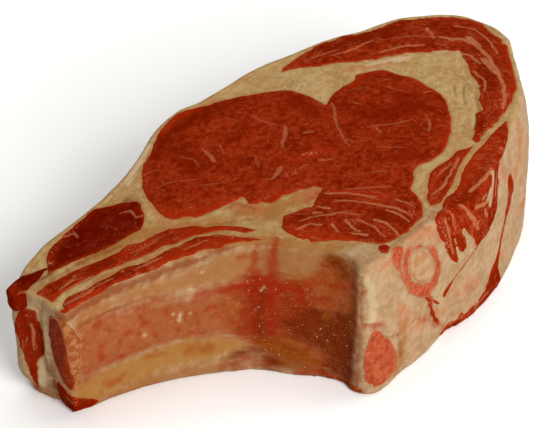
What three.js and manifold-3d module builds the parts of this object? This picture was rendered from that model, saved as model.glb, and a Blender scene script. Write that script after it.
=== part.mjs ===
// A raw beef rib roast cut one rib thick, lying on its lower cut face.
// Millimetres, +Z up. x runs from the rib tail (minus) to the outer fat cap (plus), y from the
// hollow rib wall (minus) to the fat-covered back (plus). The origin is under the middle, at
// x = MIDDLE_X of the outlines below. Fat and gristle are one body, and each muscle and bone sits
// in a pocket of it.

import * as THREE from "three";
import { ParametricGeometry } from "three/addons/geometries/ParametricGeometry.js";
import { mergeVertices } from "three/addons/utils/BufferGeometryUtils.js";
import Module from "manifold-3d";

const wasm = await Module();
wasm.setup();

// Driving dimensions.
const MIDDLE_X = 4;
const THICKNESS = 68; // from cut face to cut face, where the roast is thickest
const THICKEST_X = 26;
const TAIL_DROP = 12; // how much thinner it is at TAIL_REACH towards the rib tail
const TAIL_REACH = 170;
const CAP_DROP = 6; // how much thinner it is at CAP_REACH towards the fat cap
const CAP_REACH = 120;
const CUT_EDGE = 2; // rounding of the edge between a cut face and a wall
const CROWN = 1.2; // how far the middle of a wide muscle stands above the cut
const CROWN_WIDTH = 20; // half width from which a muscle has its whole crown
const RIM = 0.8; // bevel round a muscle's cut face
const GAP = 0.3; // clearance between a muscle or bone and its pocket
const ROAST_STEPS = 66; // stations along the roast's outline, on each side
const CORNER_X = -36; // the sawn wall starts right of here, past the chine corner
const SHARPEST = 0.3; // limits the mitre at a pointed tip
const PAST = 12; // how far a cutter runs past the surface that it opens
const BELLY = { from: 50, to: 100 }; // x where the front wall turns from a flared foot to a belly
const BACK_FOOT = { tail: -3, middle: 2, cap: 8 }; // how far the back wall stands out below
const BACK_TAIL = { from: -142, to: -110 }; // x where the back's foot grows from tail to middle
const BACK_CAP = { from: 90, to: 148 }; // x where it grows from middle to cap
const RIB_DEEP = [10.5, 5.5]; // the rib bone's thickness at its tail and at the chine
const RIB_THIN = { from: -120, to: -66 }; // x where it thins out
const RIB_MIDDLE = [34, 29]; // height of the rib's middle at its tail and at the chine
const RIB_HALF = [18.5, 12.5]; // half its height there, so that it flares at the tail
const RIB_FLARE = { from: -128, to: -80 }; // x where the flare dies out
const RIB_SQUARE = 0.6; // 1 gives the rib an oval section, less a squarer one
const RIB_SIDES = 14;
const RIB_END = { x: -46, y: -50 }; // the rib stops here, short of the chine corner
const SWELL = { out: 1.5, at: 0.47, spread: 0.16 }; // how the rib pushes the wall out, by height
const SWELL_END = { from: -60, to: -46 }; // x where the swelling dies out
const MEMBRANE = 1.2; // fat left between the rib and the muscles over and under it

// The roast's outline on its upper cut face: back x, back y, front x, front y, front foot.
// The rows go from the tail to the fat cap, and the foot is how far the wall stands out below.
const ROAST = [
  [-142, 14, -142, 14, -3],
  [-142.5, 26, -141, 2, -3],
  [-134, 33, -134, 0.5, -2],
  [-119, 39, -121, 0.5, 0],
  [-100, 42, -105, -3, 1],
  [-81, 46, -88, -9, 2.5],
  [-59, 55, -71, -17, 4],
  [-37, 67, -59, -26, 4.5],
  [-22, 70.5, -50, -39, 4],
  [-8, 69, -44, -49, 2],
  [7, 70, -41, -60, 0],
  [22, 71.5, -42, -66.5, 1],
  [36, 72, -36.5, -69.5, 4],
  [50, 70.5, -22, -69.5, 1],
  [64, 70, -4, -67.5, 1],
  [78, 69, 12, -67, -1],
  [92, 65, 24, -68.5, -2],
  [104, 64, 38, -63, 0],
  [116, 63, 57, -53, 4],
  [127, 58, 76, -43, 5],
  [137, 53, 93, -33, 5],
  [145, 47, 108, -22, 6],
  [150, 38, 121, -9, 9],
  [151, 29, 133, 4.5, 10],
  [149, 22, 141.5, 11.5, 9],
  [146, 16.5, 146, 16.5, 8],
];

// Each muscle's outline on the cut face, from tip to tip: back x, back y, front x, front y.
const EYE = [
  [-76, 20, -76, 20],
  [-73, 32, -74, 11],
  [-64, 46, -61, 5],
  [-48, 57, -48, 3],
  [-31, 65.5, -36, -8],
  [-14, 65.5, -25, -12],
  [2, 62, -13, -16],
  [15, 56, 2, -11],
  [26, 48, 13, -2],
  [31, 38, 22, 13],
  [31.5, 27, 31.5, 27],
];
const INNER_EYE = [
  [-14.5, -18.5, -14.5, -18.5],
  [-2, -14, -8, -28],
  [8, -8, 1, -40],
  [15, -1, 10, -47.5],
  [21, 10, 21, -40],
  [30, 23, 36, -37],
  [37, 31, 49, -31],
  [50, 33, 60, -23],
  [63, 35, 68, -13],
  [73, 30, 77, -5],
  [78, 22, 79.5, 5],
  [79.5, 13, 79.5, 13],
];
const CHINE_MUSCLE = [
  [-48, -28, -48, -28],
  [-44, -23, -47, -35],
  [-36, -22, -42, -43],
  [-28, -23, -34, -52],
  [-21, -20.5, -29, -60],
  [-15, -20.5, -22, -65],
  [-9, -30, -13, -65],
  [-1, -42, -4, -63.5],
  [6, -49, 3, -59],
  [7.5, -54, 7.5, -54],
];
const CAP = [
  [34, 62, 34, 62],
  [44, 66.5, 47, 57],
  [60, 67.5, 62, 49],
  [78, 66.5, 78, 41],
  [96, 62, 93, 34],
  [113, 60, 106, 28],
  [129, 54, 112, 21],
  [143, 43, 110, 14],
  [147, 29, 106, 6],
  [141, 15, 98, -4],
  [128, 0, 88, -14],
  [114, -13, 77, -24],
  [99, -25, 67, -33],
  [80, -35, 60, -38],
  [56, -42, 56, -42],
];
const FLANK_OUTER = [
  [-129, 28, -129, 28],
  [-124, 33, -124, 25],
  [-113, 37, -113, 22],
  [-101, 39.5, -102, 19],
  [-90, 40, -92, 17],
  [-82, 36, -86, 16.5],
  [-78, 30, -83, 19],
  [-80, 23, -80, 23],
];
const FLANK_INNER = [
  [-147, 17, -147, 17],
  [-140, 20, -141, 14],
  [-128, 19, -128, 13.5],
  [-114, 17, -114, 11.5],
  [-101, 13, -101, 8],
  [-88, 10, -89, 3],
  [-76, 5, -77, -2],
  [-66, -3.5, -67, -8.5],
  [-58, -12, -60, -16],
  [-55, -19.5, -55, -19.5],
];
const RIB_UPPER = [
  [-147, 3.8, -147, 3.8],
  [-139, 5.4, -139, 2.8],
  [-121, 5.2, -121, 2],
  [-103, 1, -104.5, -1.4],
  [-88, -3.4, -87.2, -7.2],
  [-74, -7.5, -71, -14.8],
  [-66, -12.5, -63.5, -19.8],
  [-58.5, -24, -58.5, -24],
];
const RIB_LOWER = [
  [-147, 4, -147, 4],
  [-137, 10, -139, -3],
  [-119, 8, -122, -5],
  [-101, 3, -107, -10],
  [-83, -4, -91, -17],
  [-66, -14, -77, -25],
  [-53, -28, -65, -36],
  [-48, -43, -56, -47],
  [-50, -52, -50, -52],
];
const BACK_INNER = [
  [6, -60, 6, -60],
  [9, -54, 12, -61],
  [20, -46, 23, -56],
  [32, -41.5, 34, -50.5],
  [45, -39, 46, -46],
  [55, -42.5, 55, -42.5],
];
const BACK_OUTER = [
  [14, -68, 14, -68],
  [20, -60, 18, -76],
  [35, -53, 38, -72],
  [48, -48, 58, -62],
  [62, -44.5, 72, -52],
  [76, -39.5, 80, -45],
  [84, -38, 84, -38],
];
const TAIL_FLAP = [
  [-151, 20, -151, 20],
  [-147, 28, -147, 15.5],
  [-140, 32, -141, 18],
  [-134, 32, -134, 22],
  [-128, 28, -128, 28],
];
const TAIL_FLAP_UNDER = 45; // height of the flap's underside
const LOWER_TOP = 6; // height of the lean band under the rib
const HANG = [38, 58]; // height of the outer back muscle's underside, low and then high
const HANG_STEP = { from: 28, to: 42 }; // x where it rises
const TRIM_LIFT = 4; // how much higher than the roast the block is that trims the muscles

// Bones and lean strips that show on the sawn wall, drawn in x and z and let into the wall.
const CHINE_FACE = [
  [-40.5, 5], [-40.5, 20], [-38, 30], [-32, 31.5], [-25, 25], [-20, 14], [-20, 5], [-29, 2],
];
const ARCH_FACE = [
  [-14, 61], [-5, 61], [2, 55.5], [8, 46], [8, 37], [4, 30], [-2, 28], [-10, 33], [-14, 41],
  [-17, 52],
];
const CORE_FACE = [
  [-11, 56.5], [-5, 55], [1, 46], [1, 40.5], [-4, 40], [-10, 44], [-13, 51],
];
const CHINE_BACK_Y = -54; // how far into the roast each bone goes
const ARCH_BACK_Y = -56;
const CORE_BACK_Y = -58;
const CLEAR_Y = -92; // clear of the sawn wall, in front of it

// Lean strips let into the sawn wall: x and z of the middle line, then the strip's width.
const STRIP_DEEP = 4;
const STRIP_SIDES = 8;
const CAP_STRIP_INNER = [
  [57, 62, 3], [62, 53, 4], [60, 42, 4.5], [55, 33, 7], [44, 33, 5], [34, 34, 3], [25, 33, 2.4],
  [17, 27, 3], [13, 20, 5],
];
const CAP_STRIP_OUTER = [
  [79, 41, 3], [74, 34, 4.5], [68, 27, 4], [64, 20, 5], [60, 12, 7.5], [54, 4, 9],
];
const FOOT_STRIP = [
  [50, 2.5, 6], [42, 3.5, 9], [33, 3, 9], [22, 2, 7], [12, 1.5, 4],
];

const LEAN = { color: 0x9c2416, roughness: 0.4, metalness: 0 };
const DARK_LEAN = { color: 0x7c1a10, roughness: 0.4, metalness: 0 };
const FAT = { color: 0xdcc48f, roughness: 0.5, metalness: 0 };
const BONE = { color: 0xc8503c, roughness: 0.6, metalness: 0 };
const GRISTLE = { color: 0xe0c39a, roughness: 0.5, metalness: 0 };

const roast = new THREE.Group();
roast.position.x = -MIDDLE_X;

// Height of the upper cut face, which falls away on both sides of the thickest place.
function cutHeight(x) {
  const past = THICKEST_X - x;
  const [drop, reach] = past > 0 ? [TAIL_DROP, TAIL_REACH] : [CAP_DROP, CAP_REACH];
  return THICKNESS - drop * (past / reach) ** 2;
}

// Eases from 0 to 1 as x crosses a stretch.
function ease({ from, to }, x) {
  const t = Math.min(Math.max((x - from) / (to - from), 0), 1);
  return t * t * (3 - 2 * t);
}

// Eases from one value to another as x crosses a stretch.
function between([start, end], stretch, x) {
  return start + (end - start) * ease(stretch, x);
}

// Walks an outline's rows once round, front side first. Each point has the midline point beside
// it and the mitre that moves both of its edges outward by one millimetre.
function outline(rows, steps) {
  const curve = (x, y, foot) => new THREE.CatmullRomCurve3(
    rows.map((row) => new THREE.Vector3(row[x], row[y], row[foot] ?? 0)), false, "catmullrom",
  );
  const back = curve(0, 1, -1);
  const front = curve(2, 3, 4);
  const stations = [];
  for (let i = 0; i <= steps; i += 1) {
    stations.push([front, i / steps]);
  }
  for (let i = steps - 1; i > 0; i -= 1) {
    stations.push([back, i / steps]);
  }
  const points = stations.map(([side, t]) => {
    const a = back.getPoint(t);
    const b = front.getPoint(t);
    const edge = side.getPoint(t);
    const middle = new THREE.Vector2((a.x + b.x) / 2, (a.y + b.y) / 2);
    const half = Math.hypot(a.x - b.x, a.y - b.y) / 2;
    return { edge: new THREE.Vector2(edge.x, edge.y), middle, half, foot: edge.z, front: side === front };
  });
  const normal = (from, to) => new THREE.Vector2(to.y - from.y, from.x - to.x).normalize();
  points.forEach((point, i) => {
    const before = normal(points.at(i - 1).edge, point.edge);
    const after = normal(point.edge, points[(i + 1) % points.length].edge);
    const mitre = 1 / Math.max(1 + before.dot(after), SHARPEST);
    point.out = before.add(after).multiplyScalar(mitre);
  });
  return points;
}

// Carries a profile round an outline and closes it on the midline, below and above. Each ring
// has its reach from midline to edge, its step outward in mm and its height at a point.
function pad(points, rings) {
  const place = (u, v, target) => {
    const point = points[Math.round(u * points.length) % points.length];
    const ring = rings[Math.round(v * (rings.length - 1))];
    const step = typeof ring.out === "function" ? ring.out(point) : ring.out;
    const x = point.edge.x + point.out.x * step;
    const y = point.edge.y + point.out.y * step;
    target.x = point.middle.x + ring.reach * (x - point.middle.x);
    target.y = point.middle.y + ring.reach * (y - point.middle.y);
    target.z = ring.height(target.x, point);
  };
  return new ParametricGeometry(place, points.length, rings.length - 1);
}

// Merges shared points, drops faces that have closed to a line, and hands the body over for
// joining and cutting.
function solid(geometry) {
  geometry.deleteAttribute("normal");
  geometry.deleteAttribute("uv");
  const merged = mergeVertices(geometry, 1e-4);
  const source = merged.index.array;
  const faces = [];
  for (let i = 0; i < source.length; i += 3) {
    const [a, b, c] = source.slice(i, i + 3);
    if (a !== b && b !== c && c !== a) {
      faces.push(a, b, c);
    }
  }
  return new wasm.Manifold(new wasm.Mesh({
    numProp: 3,
    vertProperties: Float32Array.from(merged.attributes.position.array),
    triVerts: Uint32Array.from(faces),
  }));
}

// How far the wall stands out of the upper outline at a height given as a share, t. The front
// has its own foot at every point, and swells over the rib. The back has a rounder foot.
function wallStep({ edge, foot, front }, t) {
  const round = 1 - t ** 4;
  if (!front) {
    const middle = between([BACK_FOOT.tail, BACK_FOOT.middle], BACK_TAIL, edge.x);
    return between([middle, BACK_FOOT.cap], BACK_CAP, edge.x) * round;
  }
  const flared = (1 - t) ** 1.5;
  const swell = SWELL.out * Math.exp(-(((t - SWELL.at) / SWELL.spread) ** 2));
  return foot * between([flared, round], BELLY, edge.x) + between([swell, 0], SWELL_END, edge.x);
}

// The whole roast's block. lift raises its upper face, for a block that trims the muscles.
function roastBlock(lift) {
  const points = outline(ROAST, ROAST_STEPS);
  const wall = (t) => ({
    reach: 1, out: (point) => wallStep(point, t), height: (x, point) => t * cutHeight(point.edge.x),
  });
  const face = (reach, t, height) => ({ reach, out: (point) => wallStep(point, t) - CUT_EDGE, height });
  const top = (x) => cutHeight(x) + lift;
  const nearTop = { ...wall(1), height: (x) => top(x) - CUT_EDGE };
  const foot = { ...wall(0), height: () => CUT_EDGE };
  const floor = () => 0;
  const halfway = 0.6;
  return solid(pad(points, [
    face(0, 0, floor), face(halfway, 0, floor), face(1, 0, floor), foot,
    wall(0.2), wall(SWELL.at), wall(0.75), nearTop,
    face(1, 1, top), face(halfway, 1, top), face(0, 1, top),
  ]));
}

// A muscle between two heights, and the pocket that it sits in. It runs through the whole roast
// unless under or over say otherwise.
function muscle(rows, steps, { under = () => 0, over = cutHeight } = {}) {
  const points = outline(rows, steps);
  const height = over === cutHeight ? CROWN : 0;
  const crown = (reach) => ({
    reach,
    out: 0,
    height: (x, { half }) => over(x) + height * Math.min(half / CROWN_WIDTH, 1) * (1 - reach ** 2),
  });
  const body = solid(pad(points, [
    { reach: 0, out: 0, height: under },
    { reach: 1, out: 0, height: under },
    { reach: 1, out: 0, height: (x) => over(x) - RIM },
    { reach: 1, out: -RIM, height: over },
    crown(0.55),
    crown(0),
  ]));
  const below = (x) => (under(x) > 0 ? under(x) - GAP : -PAST);
  const above = (x) => (over === cutHeight ? cutHeight(x) + PAST : over(x) + GAP);
  const pocket = solid(pad(points, [
    { reach: 0, out: GAP, height: below },
    { reach: 1, out: GAP, height: below },
    { reach: 1, out: GAP, height: above },
    { reach: 0, out: GAP, height: above },
  ]));
  return { body, pocket };
}

// Carries a section along stations and closes it to a point at both ends. place sets the target
// to a station's middle plus the section's share, 0 or 1, of its size at an angle.
function sweep(count, sides, place) {
  const at = (u, v, target) => {
    const step = Math.round(v * (count + 1)) - 1;
    const station = Math.min(Math.max(step, 0), count - 1);
    place(station, station === step ? 1 : 0, 2 * Math.PI * Math.round(u * sides) / sides, target);
  };
  return solid(new ParametricGeometry(at, sides, count + 1));
}

// The rib: a flattened bar with a rounded section that follows the hollow wall. It runs out of
// the wall and past the tail end, and is trimmed flush with both.
function ribBar(grow) {
  const path = outline(ROAST, ROAST_STEPS).filter(
    ({ edge, front }) => front && edge.x < RIB_END.x && edge.y > RIB_END.y && edge.x > ROAST[2][2],
  );
  const round = (value) => Math.sign(value) * Math.abs(value) ** RIB_SQUARE;
  return sweep(path.length, RIB_SIDES, (station, share, turn, target) => {
    const { edge, out } = path[station];
    const deep = share * (between(RIB_DEEP, RIB_THIN, edge.x) + grow) * round(Math.cos(turn));
    const high = share * (between(RIB_HALF, RIB_FLARE, edge.x) + grow) * round(Math.sin(turn));
    target.x = edge.x - out.x * deep - (station === 0 ? PAST : 0);
    target.y = edge.y - out.y * deep;
    target.z = between(RIB_MIDDLE, RIB_FLARE, edge.x) + high;
  });
}

// A piece drawn on the sawn wall in x and z, let into the wall as far as backY.
function inlay(face, backY, grow) {
  const curve = new THREE.CatmullRomCurve3(
    face.map(([x, z]) => new THREE.Vector3(x, z, 0)), true, "catmullrom",
  );
  const drawn = curve.getPoints(2 * face.length).slice(0, -1);
  const middle = drawn.reduce((sum, point) => sum.add(point), new THREE.Vector3());
  middle.divideScalar(drawn.length);
  const grown = drawn.map((point) => {
    const away = point.clone().sub(middle);
    return middle.clone().addScaledVector(away, 1 + grow / away.length());
  });
  const shape = new THREE.Shape(grown.map((point) => new THREE.Vector2(point.x, point.y)));
  const depth = backY + grow - CLEAR_Y;
  const geometry = new THREE.ExtrudeGeometry(shape, { depth, bevelEnabled: false });
  geometry.rotateX(Math.PI / 2);
  geometry.translate(0, backY + grow, 0);
  return solid(geometry);
}

// The point of the sawn wall at an x and a height, and the direction from it into the roast.
function onWall(x, z) {
  const wall = outline(ROAST, ROAST_STEPS).filter((point) => point.front && point.edge.x > CORNER_X);
  const place = (point) => point.edge.clone().addScaledVector(point.out, wallStep(point, z / cutHeight(x)));
  const next = wall.findIndex((point) => place(point).x > x);
  const [a, b] = [place(wall[next - 1]), place(wall[next])];
  const at = a.clone().lerp(b, (x - a.x) / (b.x - a.x));
  const along = b.sub(a).normalize();
  return { at: new THREE.Vector3(at.x, at.y, z), inward: new THREE.Vector3(-along.y, along.x, 0) };
}

// A lean strip let into the sawn wall: an eight-sided section carried along its middle line.
function strip(rows, grow) {
  const line = new THREE.CatmullRomCurve3(rows.map(([x, z]) => new THREE.Vector3(x, z, 0)));
  const widths = new THREE.CatmullRomCurve3(rows.map((row) => new THREE.Vector3(row[2], 0, 0)));
  const last = 2 * rows.length;
  const stations = [];
  for (let i = 0; i <= last; i += 1) {
    const { x, y } = line.getPoint(i / last);
    stations.push({ ...onWall(x, y), half: widths.getPoint(i / last).x / 2 + grow });
  }
  return sweep(stations.length, STRIP_SIDES, (i, share, turn, target) => {
    const { at, inward, half } = stations[i];
    const along = stations[Math.min(i + 1, last)].at.clone().sub(stations[Math.max(i - 1, 0)].at);
    const across = along.cross(inward).normalize();
    target.copy(at);
    target.addScaledVector(across, -share * half * Math.cos(turn));
    target.addScaledVector(inward, share * (STRIP_DEEP + grow) * Math.sin(turn));
  });
}

// Puts a body into the roast as a named mesh, without any loose scrap that cutting left.
function add(name, finish, body) {
  const pieces = body.decompose();
  const largest = pieces.reduce((best, piece) => (piece.volume() > best.volume() ? piece : best));
  const mesh = largest.getMesh();
  const geometry = new THREE.BufferGeometry();
  geometry.setAttribute("position", new THREE.BufferAttribute(mesh.vertProperties, 3));
  geometry.setIndex(new THREE.BufferAttribute(mesh.triVerts, 1));
  const node = new THREE.Mesh(geometry, new THREE.MeshStandardMaterial(finish));
  node.name = name;
  roast.add(node);
}

const trim = roastBlock(TRIM_LIFT);
const overRib = (x) => between(RIB_MIDDLE, RIB_FLARE, x) + between(RIB_HALF, RIB_FLARE, x) + MEMBRANE;
const hang = (x) => between(HANG, HANG_STEP, x);
const both = (make) => ({ body: make(0), pocket: make(GAP) });

const arch = both((grow) => inlay(ARCH_FACE, ARCH_BACK_Y, grow));
const core = both((grow) => inlay(CORE_FACE, CORE_BACK_Y, grow));
const flap = muscle(TAIL_FLAP, 10, { under: () => TAIL_FLAP_UNDER });
const parts = [
  ["rib_bone", BONE, both(ribBar)],
  ["chine_bone", BONE, both((grow) => inlay(CHINE_FACE, CHINE_BACK_Y, grow))],
  ["arch_bone", BONE, { body: arch.body.subtract(core.pocket), pocket: arch.pocket }],
  ["eye_muscle", LEAN, muscle(EYE, 24)],
  ["inner_eye_muscle", LEAN, muscle(INNER_EYE, 22)],
  ["chine_muscle", LEAN, muscle(CHINE_MUSCLE, 18)],
  ["cap_muscle", LEAN, muscle(CAP, 28)],
  ["flank_muscle_outer", DARK_LEAN, muscle(FLANK_OUTER, 14)],
  ["flank_muscle_inner", LEAN, muscle(FLANK_INNER, 18)],
  ["rib_muscle_upper", LEAN, muscle(RIB_UPPER, 16, { under: overRib })],
  ["rib_muscle_lower", LEAN, muscle(RIB_LOWER, 16, { over: () => LOWER_TOP })],
  ["back_muscle_inner", LEAN, muscle(BACK_INNER, 12)],
  ["back_muscle_outer", LEAN, muscle(BACK_OUTER, 14, { under: hang })],
  ["cap_strip_inner", LEAN, both((grow) => strip(CAP_STRIP_INNER, grow))],
  ["cap_strip_outer", LEAN, both((grow) => strip(CAP_STRIP_OUTER, grow))],
  ["foot_muscle", LEAN, both((grow) => strip(FOOT_STRIP, grow))],
];

// The flap hangs over the tail end and the core fills the arch, so neither is trimmed by what
// comes before it. Every other piece is cut by the pockets of the pieces before it, bone first,
// and the fat takes what is left of the block.
add("tail_flap", DARK_LEAN, flap.body);
add("arch_core", GRISTLE, core.body.intersect(trim));
let taken = flap.pocket;
for (const [name, finish, { body, pocket }] of parts) {
  add(name, finish, body.intersect(trim).subtract(taken));
  taken = taken.add(pocket);
}
add("fat_body", FAT, roastBlock(0).subtract(taken));

export default roast;
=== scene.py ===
"""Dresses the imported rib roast: its fat and skin, every muscle, and the cut bones.

Sizes in this file are millimetres in the frame of the outlines, with x from the rib tail to the
outer fat cap, y from the hollow rib wall to the back and z up. A mesh is moved by MIDDLE_X and
turned to metres when it is made. A place on the wall is given as its arc length from the middle
of the tail end, plus along the rib and the sawn wall and minus along the back, and its height.
"""

import bpy
import numpy as np
from bpy.props import FloatProperty, FloatVectorProperty, PointerProperty
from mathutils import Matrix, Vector


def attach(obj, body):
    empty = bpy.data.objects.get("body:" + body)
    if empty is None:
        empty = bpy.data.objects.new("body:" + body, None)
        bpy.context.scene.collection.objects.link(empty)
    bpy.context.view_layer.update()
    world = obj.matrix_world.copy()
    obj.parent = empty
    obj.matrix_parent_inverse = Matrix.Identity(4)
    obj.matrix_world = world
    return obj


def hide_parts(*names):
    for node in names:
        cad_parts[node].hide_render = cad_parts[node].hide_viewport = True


bl_info = {
    "name": "Raw Rib Roast",
    "version": (1, 0, 0),
    "blender": (4, 5, 0),
    "location": "View3D > Sidebar > Roast",
    "description": "Makes the fat, muscles and bones of a raw beef rib roast around its frame",
    "category": "Add Mesh",
}

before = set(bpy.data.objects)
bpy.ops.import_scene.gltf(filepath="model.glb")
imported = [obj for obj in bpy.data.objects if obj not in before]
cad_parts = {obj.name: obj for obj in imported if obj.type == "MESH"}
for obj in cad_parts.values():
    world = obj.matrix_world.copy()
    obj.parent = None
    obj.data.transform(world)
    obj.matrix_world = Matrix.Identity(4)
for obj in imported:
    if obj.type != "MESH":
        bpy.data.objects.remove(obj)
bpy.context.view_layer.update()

MM = 0.001
MIDDLE_X = 4.0
BODY = "root"

# The block: heights of the upper cut face and how far the walls stand out.
THICKNESS = 68.0
THICKEST_X = 26.0
TAIL_DROP, TAIL_REACH = 12.0, 170.0
CAP_DROP, CAP_REACH = 6.0, 120.0
CUT_EDGE = 2.0
SHARPEST = 0.3
BELLY = (50.0, 100.0)
BACK_FOOT = (-1.5, 2.0, 3.0)
BACK_TAIL = (-142.0, -110.0)
BACK_CAP = (90.0, 148.0)
BACK_ROUNDING = 4
FLARE = 1.5
SWELL_OUT, SWELL_AT, SWELL_SPREAD = 1.5, 0.47, 0.16
SWELL_END = (-60.0, -46.0)
CROWN, CROWN_WIDTH = 1.2, 20.0

# Unevenness of each surface: height, cell size and seed of its noise.
WALL_DENTS, WALL_CRAGS = (0.5, 16, 11), (0.22, 4, 12)
TOP_WAVES, TOP_TEARING = (0.45, 22, 21), (0.14, 3.5, 22)
TORN_CUT, TORN_WALL = (0.45, 2.2, 61), (0.4, 2.2, 61)
LEAN_GRAIN, LEAN_WAVES = (0.16, 2.4, 62), (0.1, 7, 63)
WALL_LEAN_GRAIN = (0.2, 2.2, 63)
FLAP_WAVES, FLAP_BUMPS = (0.5, 5, 64), (0.35, 3, 65)
FAT_LUMPS = (0.25, 5, 66)
# How far the marks of the lean, and of the skin, are shifted along each of a surface's two axes.
LEAN_SHIFT = (0.56, 3, 51), (0.56, 3, 52)
PAINT_SHIFT = (1.2, 5, 53), (1.2, 5, 54)

# Nicks, ridges, the bulge at the back of the tail end, and the tuck of the tail end's foot.
NICK_DEPTH, NICK_SPREAD = 1.3, (-0.6, 1.6)
RIDGE_HEIGHT, RIDGE_SPREAD = 1.0, (-2.0, 2.5)
BULGE, BULGE_AT, BULGE_WIDTH = 4.6, -14, 8.5
BULGE_FOOT, BULGE_HEAD = (0, 14), (40, 56)
TUCK, TUCK_HEIGHT = 1.2, (0, 18)
TUCK_BACK, TUCK_FRONT = (-24, -14), (14, 24)

# The rib inside the hollow wall: thickness, height of its middle and half height, tail to chine.
RIB_DEEP = (10.5, 5.5)
RIB_THIN = (-120.0, -66.0)
RIB_MIDDLE = (34.0, 29.0)
RIB_HALF = (18.5, 12.5)
RIB_FLARE = (-128.0, -80.0)
RIB_SQUARE, RIB_FULL = 0.6, 0.9
RIB_SIDES = 96
RIB_ROWS = 60
RIB_REACH = (16.5, 132.0)
RIB_TIP = 3.0
RIB_UNDER = 1.8

# The roast's outline on its upper cut face: back x, back y, front x, front y, front foot.
ROAST = [
    [-142, 14, -142, 14, -2.5],
    [-144, 27, -141, 2, -2],
    [-135.5, 35.5, -134, 0.5, -1],
    [-119.5, 41, -121, 0.5, 1.5],
    [-100.5, 43.5, -105, -3, 2.5],
    [-82, 47, -88, -9, 4],
    [-60.5, 55, -71, -17, 5.5],
    [-38.5, 67, -59, -26, 6],
    [-22, 71.5, -50, -39, 6],
    [-8, 70.5, -44, -49, 4],
    [7, 71.5, -41, -60, 2],
    [22, 73, -42, -66.5, 2],
    [36, 73.5, -36.5, -69.5, 5],
    [50, 72, -22, -69.5, 3],
    [64, 71, -4, -67.5, 3],
    [78, 70, 12, -67, -0.5],
    [92, 66.5, 24, -68.5, -1.5],
    [104, 65.5, 38, -63, 2],
    [116, 64, 57, -53, 6.5],
    [127, 60, 76, -43, 7.5],
    [137, 54.5, 93, -33, 7],
    [144, 47.5, 108, -22, 6.5],
    [147, 38, 121, -9, 5.5],
    [148, 29, 133, 4.5, 4.5],
    [146, 22, 140, 11.5, 3.5],
    [144, 16, 144, 16, 3],
]

# Each muscle's outline on the cut face.
EYE = [
    [-65.5, 43.5], [-60, 49.5], [-55, 53], [-50, 55.5], [-44.5, 59.5], [-38, 64.5], [-33, 67],
    [-27, 68.8], [-22, 69.2], [-18, 68.6], [-14, 67], [-10, 65.5], [-4, 64], [2, 61.5], [9, 58.5],
    [15.5, 55], [21.5, 51.5], [25.5, 48.5], [28, 44.5], [29.5, 39.5], [30, 34], [30, 29.5], [29, 25],
    [26, 21.5], [22.5, 16], [18.5, 9.5], [15.5, 4], [12.5, -2], [9.5, -6.5], [3, -11], [-3.5, -15],
    [-10.5, -17.5], [-16, -17.5], [-18, -15], [-21.5, -13.5], [-26, -12], [-29, -11], [-32.5, -10],
    [-35.5, -10.5], [-38.5, -10], [-40, -8.5], [-41, -6], [-43, -5.5], [-45.5, -3], [-44, 1.5],
    [-47.5, 1.5], [-49.5, 2.5], [-52, 3], [-55, 3.5], [-58, 3.5], [-61, 4], [-64.5, 4.5], [-67, 6],
    [-68, 8], [-70, 9.5], [-73.5, 11], [-75.5, 13.5], [-76, 17], [-75.5, 21], [-74.5, 26], [-73, 32],
    [-69.5, 39],
]
INNER_EYE = [
    [-16, -16], [-10.5, -15], [-3.5, -13], [2.5, -10], [9, -5], [11.5, -1.5], [14.5, 4.5], [17.5, 10.5],
    [21.5, 17], [25, 22.5], [29, 26.5], [34.5, 30], [39.5, 32.5], [45, 33.5], [50, 33.5], [54.5, 34.5],
    [58.5, 37], [63, 36], [67, 34.5], [70.5, 33], [72.5, 30], [73.5, 25.5], [75.5, 22], [77, 18.5],
    [77.5, 13.5], [77, 9], [76.5, 4], [76.5, 0], [75, -4.5], [72.5, -8.5], [68.5, -13], [63, -19.5],
    [57.5, -24.5], [52, -28.5], [46, -32], [40.5, -35], [35.5, -36], [31, -36.5], [27.5, -35.5],
    [24, -35.5], [20, -37], [17, -40], [13.5, -42.5], [10.5, -44], [9.5, -46], [7.5, -49.5], [4.5, -48],
    [0.5, -44.5], [-3.5, -39.5], [-7.5, -35], [-11.5, -29.5], [-15, -24],
]
CHINE_MUSCLE = [
    [-44.5, -22.5], [-41.5, -20], [-38, -20.5], [-34, -21.5], [-30.5, -22.5], [-28, -23.5],
    [-25.5, -22.5], [-22.5, -20.5], [-19, -19], [-16, -18], [-13, -22], [-9, -27], [-5, -32], [-1, -37],
    [3, -42], [7, -46], [8.5, -49], [8, -52], [6, -55.5], [2.5, -59], [-0.5, -61.5], [-4, -62], [-8, -63],
    [-12, -64], [-15, -64.5], [-18.5, -64.5], [-21.5, -64], [-24, -63], [-26.5, -62], [-28, -60],
    [-30, -57.5], [-31.5, -54.5], [-33.5, -52], [-35.5, -49], [-37.5, -46.5], [-40, -44.5],
    [-42.5, -42.5], [-44.5, -40.5], [-44.5, -38.5], [-46.5, -36.5], [-47, -33], [-48, -29.5],
    [-47.5, -26],
]
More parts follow.
